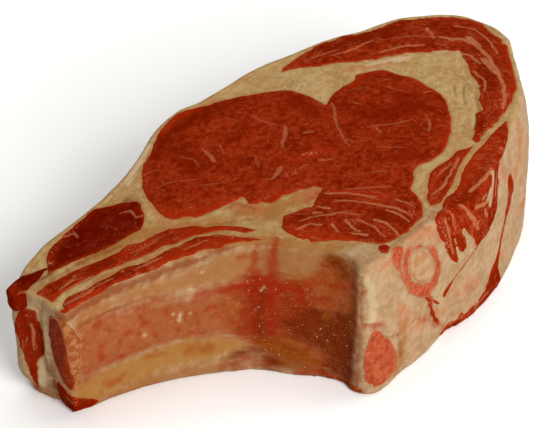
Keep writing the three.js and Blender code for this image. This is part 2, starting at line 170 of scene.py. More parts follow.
CAP = [
    [34.5, 62.5], [38.5, 64.5], [44, 66], [49.5, 67.5], [55.5, 68], [62, 68.5], [66.5, 69], [72, 68.5],
    [78.5, 67.5], [85, 65.5], [91, 63.5], [97.5, 63], [104, 62.5], [110.5, 62], [116.5, 60.5], [122, 58],
    [128.5, 54.5], [135, 50.5], [140, 46.5], [143.5, 41.5], [145.5, 36.5], [144, 32.5], [142, 27.5],
    [140, 22], [139, 17.5], [137, 12.5], [133.5, 7], [129, 1], [123.5, -4.5], [118, -10.5], [112, -15.5],
    [105, -21], [98.5, -25], [91, -28.5], [84, -31.5], [76.5, -34.5], [69.5, -36], [62.5, -38],
    [57.5, -40], [57.5, -37], [62, -34], [66, -31], [71, -27.5], [75, -24], [79.5, -22], [83.5, -18.5],
    [85, -15], [88.5, -13.5], [92, -9.5], [96.5, -5.5], [98.5, -2.5], [98.5, 0], [101.5, 3.5], [105.5, 8],
    [108.5, 12], [110, 16], [112, 19], [113, 22], [109.5, 24], [109, 25.5], [105, 28], [102, 30],
    [98, 33], [95, 35], [91.5, 36], [86.5, 37.5], [81.5, 39.5], [76, 41.5], [71.5, 44.5], [67.5, 45.5],
    [65.5, 47.5], [61, 50], [56.5, 52], [52, 54.5], [47.5, 56.5], [43.5, 59], [39, 61],
]
FLANK_OUTER = [
    [-127.5, 30], [-125, 33], [-122.5, 35], [-119.5, 36.5], [-117, 37.5], [-114.5, 38], [-111, 39.5],
    [-108, 40], [-105, 40.5], [-102, 41], [-98.5, 41.5], [-95, 42.5], [-93, 43], [-91, 42], [-88.5, 40.5],
    [-85.5, 39], [-83, 37.5], [-80.5, 35.5], [-79.5, 34.5], [-77.5, 33.5], [-77, 31], [-77.5, 28.5],
    [-79.5, 25.5], [-81, 22.5], [-84, 19], [-87.5, 17], [-91, 17], [-94.5, 17], [-98.5, 17.5],
    [-103.5, 18], [-108, 19], [-112.5, 20], [-116.5, 21.5], [-121, 22.5], [-125.5, 23.5], [-130, 24.5],
]
FLANK_INNER = [
    [-142.5, 17], [-141.5, 18.5], [-139, 19.5], [-135.5, 20], [-131.5, 19.5], [-128, 19], [-124.5, 18.5],
    [-120.5, 17.5], [-116.5, 16.5], [-112, 15], [-107.5, 14], [-103.5, 13], [-100.5, 13.5], [-97.5, 13.5],
    [-94.5, 11.5], [-91, 10.5], [-88.5, 10.5], [-84.5, 10], [-81, 9.5], [-77, 7.5], [-73.5, 5],
    [-70.5, 2.5], [-68, -1], [-65, -4], [-62, -7], [-59.5, -10], [-57.5, -13], [-56.5, -16],
    [-55.5, -18.5], [-59.5, -16.5], [-62, -13], [-64.5, -10], [-67.5, -7], [-71.5, -5], [-75, -3],
    [-79.5, -1.5], [-83.5, -0.5], [-86.5, 1], [-90, 2], [-94, 2], [-98.5, 3], [-102, 4], [-106, 5.5],
    [-109.5, 6.5], [-112.5, 8], [-118, 8], [-123, 9], [-126.5, 10], [-130.5, 10.5], [-133.5, 10.5],
    [-137, 10], [-140, 10], [-142, 11],
]
BACK_INNER = [
    [7, -58.5], [10, -53.5], [14.5, -50], [19, -46], [24, -42.5], [29.5, -41], [34, -40.5], [39, -40],
    [45, -38.5], [49.5, -39.5], [55.5, -40.5], [51, -42], [46.5, -43.5], [42, -45.5], [37, -48],
    [31, -51], [25.5, -54.5], [20, -57], [15, -59], [11, -59.5],
]
TAIL_FLAP = [
    [-148.5, 26.5, -148.5, 26.5],
    [-147.5, 30.5, -148, 23],
    [-144, 32, -145, 21],
    [-139.5, 32.5, -141.5, 22.5],
    [-135, 31, -138, 24],
    [-131, 28, -131, 26.5],
    [-129, 26.5, -129, 26.5],
]
TAIL_FLAP_UNDER = 47.5
# The lean under the rib, as rows of a back and a front point.
RIB_LOWER = [
    [-126, 5, -126, 5],
    [-121, 7.5, -122.5, 1.5],
    [-113, 6.5, -115.5, -0.5],
    [-101, 3, -105, -4],
    [-83, -4, -88, -11],
    [-66, -14, -73, -20],
    [-56, -28, -62, -30],
    [-49, -40, -53, -41],
    [-49, -48, -49, -48],
]
LOWER_TOP = 5.5
# Levels of the rings of that lean, as shares of its top, and how far each spreads from the middle.
LOWER_RINGS = [[0, 0.02], [0.4, 0.02], [0.8, 0.02], [1, 0.15], [1, 1], [0.6, 1], [0, 1]]
# Nearer the tail than this the muscles and the fat between them are thin.
LOWER_START = -116.0


def ease(stretch, x):
    """Eases from 0 to 1 as x crosses a stretch: 3 t squared less 2 t cubed."""
    t = np.clip((x - stretch[0]) / (stretch[1] - stretch[0]), 0, 1)
    return t * t * (3 - 2 * t)


def between(ends, stretch, x):
    """Eases from one value to another as x crosses a stretch."""
    return ends[0] + (ends[1] - ends[0]) * ease(stretch, x)


def catmull(rows, t):
    """Uniform Catmull-Rom curve through rows, at shares t of its length counted in rows."""
    rows = np.asarray(rows, float)
    knots = np.vstack([2 * rows[0] - rows[1], rows, 2 * rows[-1] - rows[-2]])
    at = np.clip(t, 0, 1) * (len(rows) - 1)
    first = np.minimum(at.astype(int), len(rows) - 2)
    f = (at - first)[:, None]
    p0, p1, p2, p3 = (knots[first + k] for k in range(4))
    bend = (2 * p0 - 5 * p1 + 4 * p2 - p3) * f + (3 * p1 - p0 - 3 * p2 + p3) * f**2
    return p1 + 0.5 * f * (p2 - p0 + bend)


BITS = 0xFFFFFFFF
CELL_PRIMES = (73856093, 19349663, 83492791)
SEED_PRIME, MIX_PRIME = 2654435761, 1274126177


def lattice(cells, seed):
    """A random number from -1 to 1 for each whole-numbered cell, from its mixed-up bits."""
    mixed = (cells @ np.array(CELL_PRIMES) + seed * SEED_PRIME) & BITS
    mixed ^= mixed >> 13
    mixed = (mixed * MIX_PRIME) & BITS
    mixed ^= mixed >> 16
    return mixed / 2**31 - 1


def grain(points, size, seed, octaves=1):
    """Smooth noise from -1 to 1: random values on a lattice of the given cell size, blended
    with eased weights. Each further octave halves both the cell and the height."""
    total, height, heights = 0.0, 1.0, 0.0
    for octave in range(octaves):
        cell = points / np.asarray(size, float) * 2**octave
        low = np.floor(cell).astype(np.int64)
        share = cell - low
        share = share * share * (3 - 2 * share)
        for corner in np.ndindex(2, 2, 2):
            weight = np.prod(np.where(corner, share, 1 - share), axis=1)
            total = total + height * weight * lattice(low + corner, seed + octave)
        heights += height
        height /= 2
    return total / heights


def flat(u, v, w=0.0):
    """Columns side by side as points."""
    return np.stack(np.broadcast_arrays(u, v, w), axis=-1).reshape(-1, 3)


def uneven_by(layer, u, v, w=0.0):
    """One layer of unevenness: noise of the layer's cell size and seed, times its height."""
    height, size, seed = layer
    return height * grain(flat(u, v, w), size, seed, 2)


# How far from an outline distances are worked out, and how many points go in one run.
FAR = 12.0
BLOCK = 4000
# How many samples to a row find a curve's length, the octaves of a ragged edge, and how far a
# slab's lattice goes past its area.
SAMPLES, RAGGED_OCTAVES, LATTICE_MARGIN = 60, 3, 2
TINY = 1e-9


def blocks(points, outline):
    """Splits the points that are near an outline into runs that fit in memory."""
    low, high = outline.min(axis=0) - FAR, outline.max(axis=0) + FAR
    near = np.flatnonzero(((points > low) & (points < high)).all(axis=1))
    return np.array_split(near, max(1, len(near) // BLOCK)) if len(near) else []


def inside_distance(points, loop):
    """Distance from each point to a closed outline, plus inside and minus outside, up to FAR:
    the least distance to its edges, with the sign from how many edges a level ray crosses."""
    a, b = loop, np.roll(loop, -1, axis=0)
    run = b - a
    length = np.maximum((run**2).sum(axis=1), TINY)
    rise = np.where(np.abs(run[:, 1]) < TINY, TINY, run[:, 1])
    found = np.full(len(points), -FAR)
    for part in blocks(points, loop):
        p = points[part][:, None]
        share = np.clip(((p - a) * run).sum(axis=2) / length, 0, 1)
        gap = p - a - share[..., None] * run
        distance = np.sqrt((gap**2).sum(axis=2).min(axis=1))
        level = (a[:, 1] > p[..., 1]) != (b[:, 1] > p[..., 1])
        crossing = a[:, 0] + (p[..., 1] - a[:, 1]) / rise * run[:, 0] > p[..., 0]
        odd = (level & crossing).sum(axis=1) % 2 == 1
        found[part] = np.clip(np.where(odd, distance, -distance), -FAR, FAR)
    return found


def path_distance(points, paths):
    """Distance from each point to the nearest of some bent lines, less the line's half width
    there, up to FAR. Each line is rows of two coordinates and a half width."""
    found = np.full(len(points), FAR)
    for path in paths:
        path = np.atleast_2d(np.asarray(path, float))
        path = np.vstack([path, path[-1:] + 1e-3]) if len(path) == 1 else path
        a, run = path[:-1], np.diff(path, axis=0)
        length = np.maximum((run[:, :2] ** 2).sum(axis=1), TINY)
        for part in blocks(points, path[:, :2]):
            p = points[part][:, None] - a[:, :2]
            share = np.clip((p * run[:, :2]).sum(axis=2) / length, 0, 1)
            gap = p - share[..., None] * run[:, :2]
            away = np.sqrt((gap**2).sum(axis=2)) - a[:, 2] - share * run[:, 2]
            found[part] = np.minimum(found[part], away.min(axis=1))
    return found


class Outline:
    """A closed outline as arrays of points, with the midline point beside each and the mitre
    that moves both of its edges outward by one millimetre."""

    def __init__(self, edge, middle, front, t):
        turned = np.roll(edge, -1, axis=0)
        if (edge[:, 0] * turned[:, 1] - turned[:, 0] * edge[:, 1]).sum() < 0:
            edge, middle, front, t = edge[::-1], middle[::-1], front[::-1], t[::-1]
        self.edge, self.middle, self.front, self.t = edge, middle, front, t
        run = np.roll(edge, -1, axis=0) - edge
        run /= np.maximum(np.linalg.norm(run, axis=1), TINY)[:, None]
        after = np.stack([run[:, 1], -run[:, 0]], axis=1)
        before = np.roll(after, 1, axis=0)
        share = np.maximum(1 + (before * after).sum(axis=1), SHARPEST)
        self.out = (before + after) / share[:, None]

    @classmethod
    def rows(cls, rows, step):
        """From rows of a back and a front point, at stations about a step apart."""
        rows = np.asarray(rows, float)
        fine = np.linspace(0, 1, SAMPLES * len(rows))
        runs = [np.diff(catmull(rows[:, k : k + 2], fine), axis=0) for k in (0, 2)]
        speed = np.maximum(*(np.linalg.norm(run, axis=1) for run in runs))
        reach = np.concatenate([[0], np.cumsum(speed)])
        count = int(round(reach[-1] / step))
        t = np.interp(np.linspace(0, reach[-1], count + 1), reach, fine)
        back, ahead = catmull(rows[:, :2], t), catmull(rows[:, 2:4], t)
        return cls(
            np.vstack([ahead, back[-2:0:-1]]),
            np.vstack([(ahead + back) / 2, (ahead + back)[-2:0:-1] / 2]),
            np.concatenate([np.ones(count + 1, bool), np.zeros(count - 1, bool)]),
            np.concatenate([t, t[-2:0:-1]]),
        )

    def roughened(self, height, size, seed):
        """The same outline with its edge moved in and out by noise."""
        uneven = height * grain(flat(*self.edge.T), size, seed, RAGGED_OCTAVES)
        return Outline(self.edge + self.out * uneven[:, None], self.middle, self.front, self.t)

    def rings(self, reach):
        """Points of rings that spread from the midline by each share of the way to the edge."""
        return (self.middle + reach[:, None, None] * (self.edge - self.middle)).reshape(-1, 2)


def rounded_loop(knots, count=4):
    """A closed Catmull-Rom curve through knots, with some points to each stretch."""
    knots = np.asarray(knots, float)
    around = np.vstack([knots[-2:], knots, knots[:3]])
    stretches = len(around) - 1
    first, last = 2 / stretches, (2 + len(knots)) / stretches
    return catmull(around, np.linspace(first, last, count * len(knots) + 1)[:-1])


class Area:
    """Where something lies: closed outlines and bent lines with a half width, less others, with
    a ragged border. Distances are plus inside and minus outside, up to FAR."""

    def __init__(self, loops=(), lines=(), less=(), ragged=0.0, size=4.0, seed=1):
        self.loops = [rounded_loop(loop) for loop in loops]
        self.less = [rounded_loop(loop) for loop in less]
        self.lines = [np.atleast_2d(np.asarray(line, float)) for line in lines]
        self.ragged, self.size, self.seed = ragged, size, seed

    def inside(self, points):
        found = -path_distance(points, self.lines)
        for loop in self.loops:
            found = np.maximum(found, inside_distance(points, loop))
        for loop in self.less:
            found = np.minimum(found, -inside_distance(points, loop))
        if self.ragged:
            uneven = grain(flat(*points.T), self.size, self.seed, RAGGED_OCTAVES)
            found = found + self.ragged * uneven
        return found

    def box(self):
        """Lowest and highest corner of everything that adds to the area."""
        sides = [line[:, :2] + side * line[:, 2:3] for line in self.lines for side in (-1, 1)]
        rims = np.vstack(self.loops + sides)
        return rims.min(axis=0), rims.max(axis=0)


def cut_height(x):
    """Height of the upper cut face, which falls away on both sides of its thickest place."""
    past = THICKEST_X - x
    tail = TAIL_DROP * (past / TAIL_REACH) ** 2
    return THICKNESS - np.where(past > 0, tail, CAP_DROP * (past / CAP_REACH) ** 2)


def wall_step(x, foot, front, t):
    """How far the wall stands out of the upper outline at a height given as a share, t."""
    rounded = 1 - t**BACK_ROUNDING
    flared = np.clip(1 - t, 0, 1) ** FLARE
    swell = SWELL_OUT * np.exp(-(((t - SWELL_AT) / SWELL_SPREAD) ** 2))
    belly = ease(BELLY, x)
    ahead = foot * (flared + (rounded - flared) * belly) + swell * (1 - ease(SWELL_END, x))
    middle = between(BACK_FOOT[:2], BACK_TAIL, x)
    behind = (middle + (BACK_FOOT[2] - middle) * ease(BACK_CAP, x)) * rounded
    return np.where(front, ahead, behind)


class Wall:
    """The roast's wall, unrolled: its columns in order of their arc length from the tail."""

    def __init__(self, step):
        line = Outline.rows(ROAST, step)
        self.line = line
        run = np.linalg.norm(np.roll(line.edge, -1, axis=0) - line.edge, axis=1)
        reach = np.concatenate([[0], np.cumsum(run)])
        self.s = np.where(line.front, reach[:-1], reach[:-1] - reach[-1])
        foot = catmull(np.asarray(ROAST, float)[:, 4:], line.t)[:, 0]
        order = np.argsort(self.s)
        self.sorted_s = self.s[order]
        self.columns = np.column_stack([line.edge, line.out, foot])[order]

    def at(self, s):
        """Edge x and y, outward x and y, and foot of the wall at an arc length."""
        return [np.interp(s, self.sorted_s, column) for column in self.columns.T]

    def place(self, s, v, level):
        """The point at arc length s, height v and a level above the skin. Past the cut edge v
        goes on over the rounded edge and inward across the upper cut face."""
        x, y, out_x, out_y, foot = self.at(s)
        top = cut_height(x)
        over = v - top
        turn = np.clip((over + CUT_EDGE) / (2 * CUT_EDGE), 0, 1) * np.pi / 2
        z = np.where(over < -CUT_EDGE, v, top - CUT_EDGE * (1 - np.sin(turn)))
        step = wall_step(x, foot, s >= 0, np.clip(z / top, 0, 1))
        inward = np.where(over > CUT_EDGE, over, CUT_EDGE * (1 - np.cos(turn)))
        face = np.sin(turn)
        relief = (1 - face) * wall_relief(s, z) + face * top_relief(x, y)
        lift = level + relief
        away = step - inward + lift * np.cos(turn)
        return flat(x + out_x * away, y + out_y * away, z + lift * face)


def wall_relief(s, z):
    """Unevenness of the wall: broad dents and small crags, the nicks and ridges, and
    the bulge and the tucked foot of the tail end."""
    places = flat(s, z)[:, :2]
    uneven = uneven_by(WALL_DENTS, s, z) + uneven_by(WALL_CRAGS, s, z)
    uneven = uneven - NICK_DEPTH * (1 - ease(NICK_SPREAD, path_distance(places, NICKS)))
    uneven = uneven + RIDGE_HEIGHT * (1 - ease(RIDGE_SPREAD, path_distance(places, RIDGES)))
    bulge = BULGE * np.exp(-(((s - BULGE_AT) / BULGE_WIDTH) ** 2))
    bulge = bulge * ease(BULGE_FOOT, z) * (1 - ease(BULGE_HEAD, z))
    tuck = TUCK * (1 - ease(TUCK_HEIGHT, z)) * ease(TUCK_BACK, s) * (1 - ease(TUCK_FRONT, s))
    return (uneven + bulge - tuck).reshape(np.shape(s))


def top_relief(x, y):
    """Unevenness of a cut face: slow waves and fine tearing."""
    uneven = uneven_by(TOP_WAVES, x, y) + uneven_by(TOP_TEARING, x, y)
    return uneven.reshape(np.shape(x))


# Marks on the wall as arc length, height and half width.
NICKS = [
    [[166, 44, 0.5], [169, 45, 0.4]], [[152, 42, 0.5], [156, 42, 0.4]],
    [[285, 64.5, 0.3], [282.5, 58.5, 0.5], [282, 51.5, 0.4]], [[278.5, 48, 0.4], [271.5, 41.5, 0.5]],
    [[282, 21, 0.5], [289, 19, 0.4]], [[188, 26, 0.6], [191, 15, 0.5], [199, 8, 0.5]],
    [[217, 19, 0.5], [220, 16, 0.4]], [[-3.5, 42, 0.4], [-3, 35, 0.5], [-3.5, 26, 0.3]],
    [[1.9, 19.3, 0.4], [0, 8.7, 0.6], [3, 4.5, 0.6]], [[149, 36, 0.4], [154, 34.5, 0.6], [160, 27, 0.4]],
]
RIDGES = [[[-1, 47, 0.8], [0, 38, 1.0], [1, 29, 0.8]], [[152, 58, 1.2], [154, 46, 1.2]]]


class Paint:
    """Where a colour of the skin lies: an area of the wall and one of the cut face."""

    def __init__(self, wall=(), lines=(), top=(), top_lines=()):
        self.wall, self.top = Area(wall, lines), Area(top, top_lines)


SKIN_PAINT = {
    "tan": Paint(
        wall=[[
            [18, 47], [20, 54], [40, 53.5], [57, 54], [75, 57], [92, 62], [118, 65], [138, 66], [134, 50],
            [114, 44], [97, 46], [80, 45], [60, 46], [40, 47],
        ]],
        lines=[
            [[24, 2.5, 3], [40, 2.5, 3.5], [60, 3, 4], [80, 4, 3], [92, 10, 3]], [[-12, 2, 3], [8, 2, 3]],
            [[2.4, 27.5, 1], [4.6, 22, 1], [9, 16, 1.2], [13.5, 13, 1.5]],
            [[164, 4, 2], [168, 12, 2.5], [170, 24, 2]],
        ],
        top_lines=[
            [[-118, 19, 3], [-92, 15, 5], [-75, 4, 6], [-60, -6, 5]],
            [[-118, 4, 3], [-90, -4, 3], [-68, -16, 4], [-56, -30, 6], [-50, -42, 5], [-38, -55, 4]],
            [[-50, -5, 6], [-44, -14, 6], [-30, -16, 4], [-22, -17, 3]],
        ],
    ),
    "cream": Paint(top_lines=[[[-41, -58, 5], [-36, -63, 7], [-18, -67, 6], [2, -66, 5], [20, -63, 4]]]),
    "pink": Paint(
        lines=[
            [[160, 63, 3], [168, 62, 3]], [[176, 20, 2], [190, 18, 3], [200, 14, 2]],
            [[214, 22, 3], [222, 18, 3]], [[284, 60, 3], [281, 50, 3], [272, 42, 4]],
            [[206, 24.5, 1.5], [210, 19, 1.5]], [[278, 20, 3], [290, 20, 4]],
            [[300, 30, 4], [296, 50, 3]], [[254, 60, 2.5], [258, 52, 3]], [[172, 27, 3], [168, 36, 2]],
            [[174, 67, 2.5], [186, 64, 3], [194, 58, 2]],
        ],
        top_lines=[
            [[-28, -17, 3], [-20, -18, 2.5], [-12, -19, 2]], [[-46, -8, 3], [-50, 0, 2]],
            [[12, -63, 2], [24, -62, 3]], [[60, 42, 2], [80, 34, 1.5]],
            [[-74.5, 27, 0.6], [-77.5, 17, 0.8], [-77.5, 7, 0.8]], [[84, -24, 3], [74, -30, 3]],
        ],
    ),
    "amber": Paint(wall=[[
        [100, 47], [112, 49], [122, 53], [130, 62], [144, 63], [144.5, 44], [145, 6], [140, 4], [120, 6],
        [100, 10], [88, 18], [84, 34], [88, 46],
    ]]),
    "rust": Paint(
        wall=[[
            [88, 43], [100, 46], [112, 46], [122, 44], [124, 38], [120, 28], [110, 18], [98, 16],
            [88, 19], [85, 32],
        ]],
        lines=[[[84, 4, 1.0], [94, 6, 2.5], [104, 4, 2.0]]],
    ),
    "olive": Paint(
        wall=[[[97, 16], [108, 17], [118, 16], [127, 11], [131, 5], [128, 1], [110, 3], [101, 7]]],
        lines=[[[131, 61, 2.5], [136, 61, 3.5], [135, 56, 3]]],
    ),
    # dark: partly painted shade, in the gap under the tail flap, along a nick at the tail end and over
    # the shaded far end of the hollow wall, and partly dark lean seen through the membrane.
    "dark": Paint(
        wall=[[
            [112, 26], [120, 34], [130, 37], [138, 38], [143, 36], [144.5, 5], [142, 0], [134, 2],
            [128, 11], [118, 17],
        ]],
        lines=[
            [[133, 60, 2.5], [136, 57, 2]], [[1.9, 19.3, 0.5], [0, 8.7, 0.7], [3, 4.5, 0.8]],
            [[88, 9, 1.5], [98, 9, 2.5], [107, 6, 2]], [[99, 44, 2.5], [100, 30, 3], [100, 20, 3]],
        ],
        top_lines=[
            [[-140, 25.5, 0.5], [-135.5, 25.5, 0.9], [-130, 24.5, 0.8]],
            [[-78.6, 36, 0.4], [-77.6, 33, 0.4]],
        ],
    ),
    "bone": Paint(wall=[[
        [17, 18], [18, 47], [30, 46], [45, 45], [60, 44], [75, 42], [86, 42], [91, 38], [90, 22],
        [82, 19], [70, 19], [55, 20], [40, 19], [28, 17],
    ]]),
    "yellow": Paint(wall=[[
        [16, 14], [24, 16], [40, 18], [58, 20], [76, 19], [88, 17], [90, 12], [80, 9], [60, 8], [40, 6],
        [24, 5], [16, 6],
    ]]),
    "orange": Paint(lines=[
        [[37, 10, 2.5], [30, 9, 2]], [[68, 15, 2], [76, 14, 2.5]], [[50, 17, 1], [56, 16, 1]],
        [[134, 56, 1], [131, 44, 2], [130, 32, 1.5]], [[143, 50, 1.5], [142, 30, 1.5]],
        [[86, 5, 0.2], [98, 7, 0.3], [106, 5, 0.2]], [[88, 2, 0.2], [99, 3, 0.3]],
    ]),
    "brown": Paint(
        lines=[
            [
                [10, 54, 2.2], [26, 55.5, 2.6], [45, 56, 2.6], [63, 58.5, 2.2], [77, 60.5, 1.6],
                [90, 62.5, 1],
            ],
            [[158, 26, 0.6], [166, 22, 0.5], [168, 10, 0.5]],
            [[147, 60, 0.3], [147.5, 34, 0.4], [147, 4, 0.4]], [[101, 44, 0.1], [103, 46, 0.1]],
            [[18, 47, 0.4], [40, 46.6, 0.5], [60, 45.5, 0.4]],
        ],
        top_lines=[
            [[-136, 20, 0.6], [-118, 19, 0.6], [-100, 15.5, 0.5]],
            [[-56, 2, 0.6], [-48, -1, 0.8], [-46, -8, 0.5]],
        ],
    ),
    "blood": Paint(
        lines=[
            [[107, 67, 1.6], [105.5, 54, 2.8], [106, 44, 2.6], [105, 32, 1.8], [106, 20, 1.0]],
            [[99, 62, 1.2], [97, 52, 2.0], [99, 46, 2.2], [98, 34, 1.2]], [[92, 58, 0.6], [100, 57, 1.2]],
            [[72, 41, 0.8], [87, 42.5, 1.6], [100, 45, 2.6], [108, 44.5, 3.0], [118, 43, 1.6]],
            [[117, 46, 0.5], [130, 48, 0.6], [147, 54, 0.6]], [[118, 39, 0.5], [135, 42, 0.5]],
            [[28, 42, 1], [35, 43, 0.8]], [[29, 31, 1.2]], [[38, 22, 1], [33, 21, 0.8]], [[41, 33, 1.3]],
            [[48, 34, 1]], [[59, 38, 0.8]], [[64, 28, 1]], [[28, 25, 1], [27, 28, 0.8]], [[53, 29, 0.8]],
            [[72, 33, 0.6], [80, 35, 0.6]], [[178, 25.5, 0.3], [190.5, 15, 0.5], [201, 5, 0.3]],
            [[-10, 10, 1.2], [-9, 4, 1.4]], [[117, 2, 1], [126, 3, 1.2], [136, 2.5, 1.4]],
            [[149, 36, 0.6], [157, 34, 0.8]], [[96, 30, 1.4], [99, 24, 1.2]], [[82, 30, 0.9]],
            [[88, 26, 0.9]],
        ],
        top_lines=[
            [[-27.5, -20, 0.6], [-20, -18.5, 0.5]], [[-6, -65, 0.5], [4, -63.5, 0.5]],
            [[10, -57, 0.6], [12, -50, 0.5]],
        ],
    ),
    "pale": Paint(
        lines=[
            [[49, 29, 0.8]], [[65, 32, 0.9], [66, 35, 0.5]], [[62, 36, 0.6]], [[69, 34, 0.4]],
            [[138, 1.5, 0.7], [143, 2.5, 0.6]], [[36, 52, 0.4]], [[76, 53, 0.5]],
            [[70, 46, 0.6], [72, 45, 0.5]], [[99.5, 40, 0.15], [102, 42.5, 0.3]],
            [[-3.5, 48, 0.6], [-2.8, 43, 0.7], [-2.3, 35, 0.8], [-2, 29, 1], [2.4, 27.5, 0.8]],
            [[-3.3, 21.8, 1], [-3.2, 15.4, 1.8], [-4.3, 8, 1.4]],
            [[150, 60, 1.4], [152, 48, 1.6], [152, 38, 1.4]],
        ],
        top_lines=[
            [[-72, 45, 1.5], [-60, 53, 1.2], [-48, 60, 1]], [[96, 36, 1], [104, 30, 0.8], [113, 22, 0.8]],
            [[66, 64, 0.3]], [[70, 40, 1.5], [90, 33, 1.5]],
        ],
    ),
}
# Creases of the fat between the muscles on the cut face.
CREASES = [
    [[91.5, -0.5, 0.2], [83, -7.5, 0.35], [78.5, -13, 0.2]],
    [[86.5, -12, 0.2], [78.5, -21.5, 0.35], [65.5, -30.5, 0.25]], [[80, -6, 0.15], [87, 2, 0.2]],
    [[81.5, 33.5, 0.2], [87, 31.5, 0.3], [89, 27, 0.2]],
    [[-140, 25.5, 0.3], [-135.5, 25.5, 0.6], [-130, 24.5, 0.4]],
    [[-66, 0, 0.1], [-58, -6, 0.2], [-50, -12, 0.1]], [[94, 14, 0.1], [96, 6, 0.2], [93, -2, 0.1]],
]


WALL_STEP = 0.85
WALL = Wall(WALL_STEP)
ROAST_EDGE = WALL.line.edge[::2]


def upper_face(x, y, edge):
    """Height of the cut face, which rounds over near the roast's edge: a quarter circle."""
    across = 1 - np.clip(edge / CUT_EDGE, 0, 1)
    return cut_height(x) - CUT_EDGE * (1 - np.sqrt(np.maximum(1 - across**2, 0)))


def combine(distances, softness):
    """Union of distances that runs through where they meet: the log of summed exponentials."""
    stacked = np.stack(distances) / softness
    top = stacked.max(axis=0)
    return softness * (top + np.log(np.exp(stacked - top).sum(axis=0)))


def grid_faces(rows, columns):
    """Triangles of a grid whose columns close on themselves."""
    index = np.arange(rows * columns).reshape(rows, columns)
    a, d = index[:-1], index[1:]
    b, c = np.roll(a, -1, axis=1), np.roll(d, -1, axis=1)
    halves = np.stack([np.stack([a, b, c], axis=-1), np.stack([a, c, d], axis=-1)])
    return halves.reshape(-1, 3)


def signed_volume(points, faces):
    """Six times the volume, plus where the faces point outward: the sum of a . (b x c)."""
    a, b, c = (points[faces[:, k]] for k in range(3))
    return (a * np.cross(b, c)).sum()


class Shell:
    """A closed surface of points and faces with its values, welded where points meet."""

    def __init__(self, points, faces, values):
        rounded = np.round(points, 3)
        _, first, index = np.unique(rounded, axis=0, return_index=True, return_inverse=True)
        faces = index.ravel()[faces]
        a, b, c = faces.T
        faces = faces[(a != b) & (b != c) & (c != a)]
        self.points = points[first]
        turned = signed_volume(self.points - self.points.mean(axis=0), faces) < 0
        self.faces = faces[:, ::-1] if turned else faces
        spread = {name: np.broadcast_to(value, len(points)) for name, value in values.items()}
        self.values = {name: value[first] for name, value in spread.items()}

    @classmethod
    def rings(cls, points, rows, values):
        """From a grid whose columns close on themselves and whose first and last rows close."""
        return cls(points, grid_faces(rows, len(points) // rows), values)

    @classmethod
    def slab(cls, area, step, margin, make):
        """A slab over the squares of a lattice that an area reaches, with some margin. make
        turns the lattice's places into upper points, lower points and values."""
        low, high = area.box()
        low, high = low - LATTICE_MARGIN, high + LATTICE_MARGIN + step
        lines = [np.arange(low[k], high[k], step) for k in (0, 1)]
        u, v = np.meshgrid(*lines, indexing="ij")
        places = np.column_stack([u.ravel(), v.ravel()])
        reached = (area.inside(places) > -margin).reshape(u.shape)
        square = reached[:-1, :-1] | reached[1:, :-1] | reached[1:, 1:] | reached[:-1, 1:]
        index = np.arange(u.size).reshape(u.shape)
        around = index[:-1, :-1], index[1:, :-1], index[1:, 1:], index[:-1, 1:]
        corners = [part[square] for part in around]
        kept, index = np.unique(np.stack(corners), return_inverse=True)
        a, b, c, d = index.reshape(4, -1)
        count = len(kept)
        upper = np.vstack([np.stack([a, b, c], axis=1), np.stack([a, c, d], axis=1)])
        start, end = np.concatenate([a, b, c, d]), np.concatenate([b, c, d, a])
        rim = ~np.isin(start * count + end, end * count + start)
        p, q = start[rim], end[rim]
        sides = [np.stack([q, p, p + count], axis=1), np.stack([q, p + count, q + count], axis=1)]
        above, below, values = make(places[kept])
        doubled = {name: np.tile(value, 2) for name, value in values.items()}
        faces = np.vstack([upper, upper[:, ::-1] + count, *sides])
        return cls(np.vstack([above, below]), faces, doubled)


def put_in_scene(name, shells, material, node):
    """Joins closed shells to one mesh object in metres and stands it in for its node."""
    points = np.vstack([shell.points for shell in shells])
    starts = np.cumsum([0] + [len(shell.points) for shell in shells[:-1]])
    faces = np.vstack([shell.faces + start for shell, start in zip(shells, starts)])
    mesh = bpy.data.meshes.new(name)
    mesh.vertices.add(len(points))
    mesh.vertices.foreach_set("co", ((points - [MIDDLE_X, 0, 0]) * MM).astype(np.float32).ravel())
    mesh.loops.add(faces.size)
    mesh.loops.foreach_set("vertex_index", faces.astype(np.int32).ravel())
    mesh.polygons.add(len(faces))
    mesh.polygons.foreach_set("loop_start", np.arange(0, faces.size, 3, dtype=np.int32))
    mesh.update(calc_edges=True)
    mesh.shade_smooth()
    for key in shells[0].values:
        layer = mesh.attributes.new(key, "FLOAT", "POINT")
        values = np.concatenate([shell.values[key] for shell in shells])
        layer.data.foreach_set("value", values.astype(np.float32))
    mesh.materials.append(material)
    piece = bpy.data.objects.new(name, mesh)
    bpy.context.scene.collection.objects.link(piece)
    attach(piece, BODY)
    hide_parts(node)
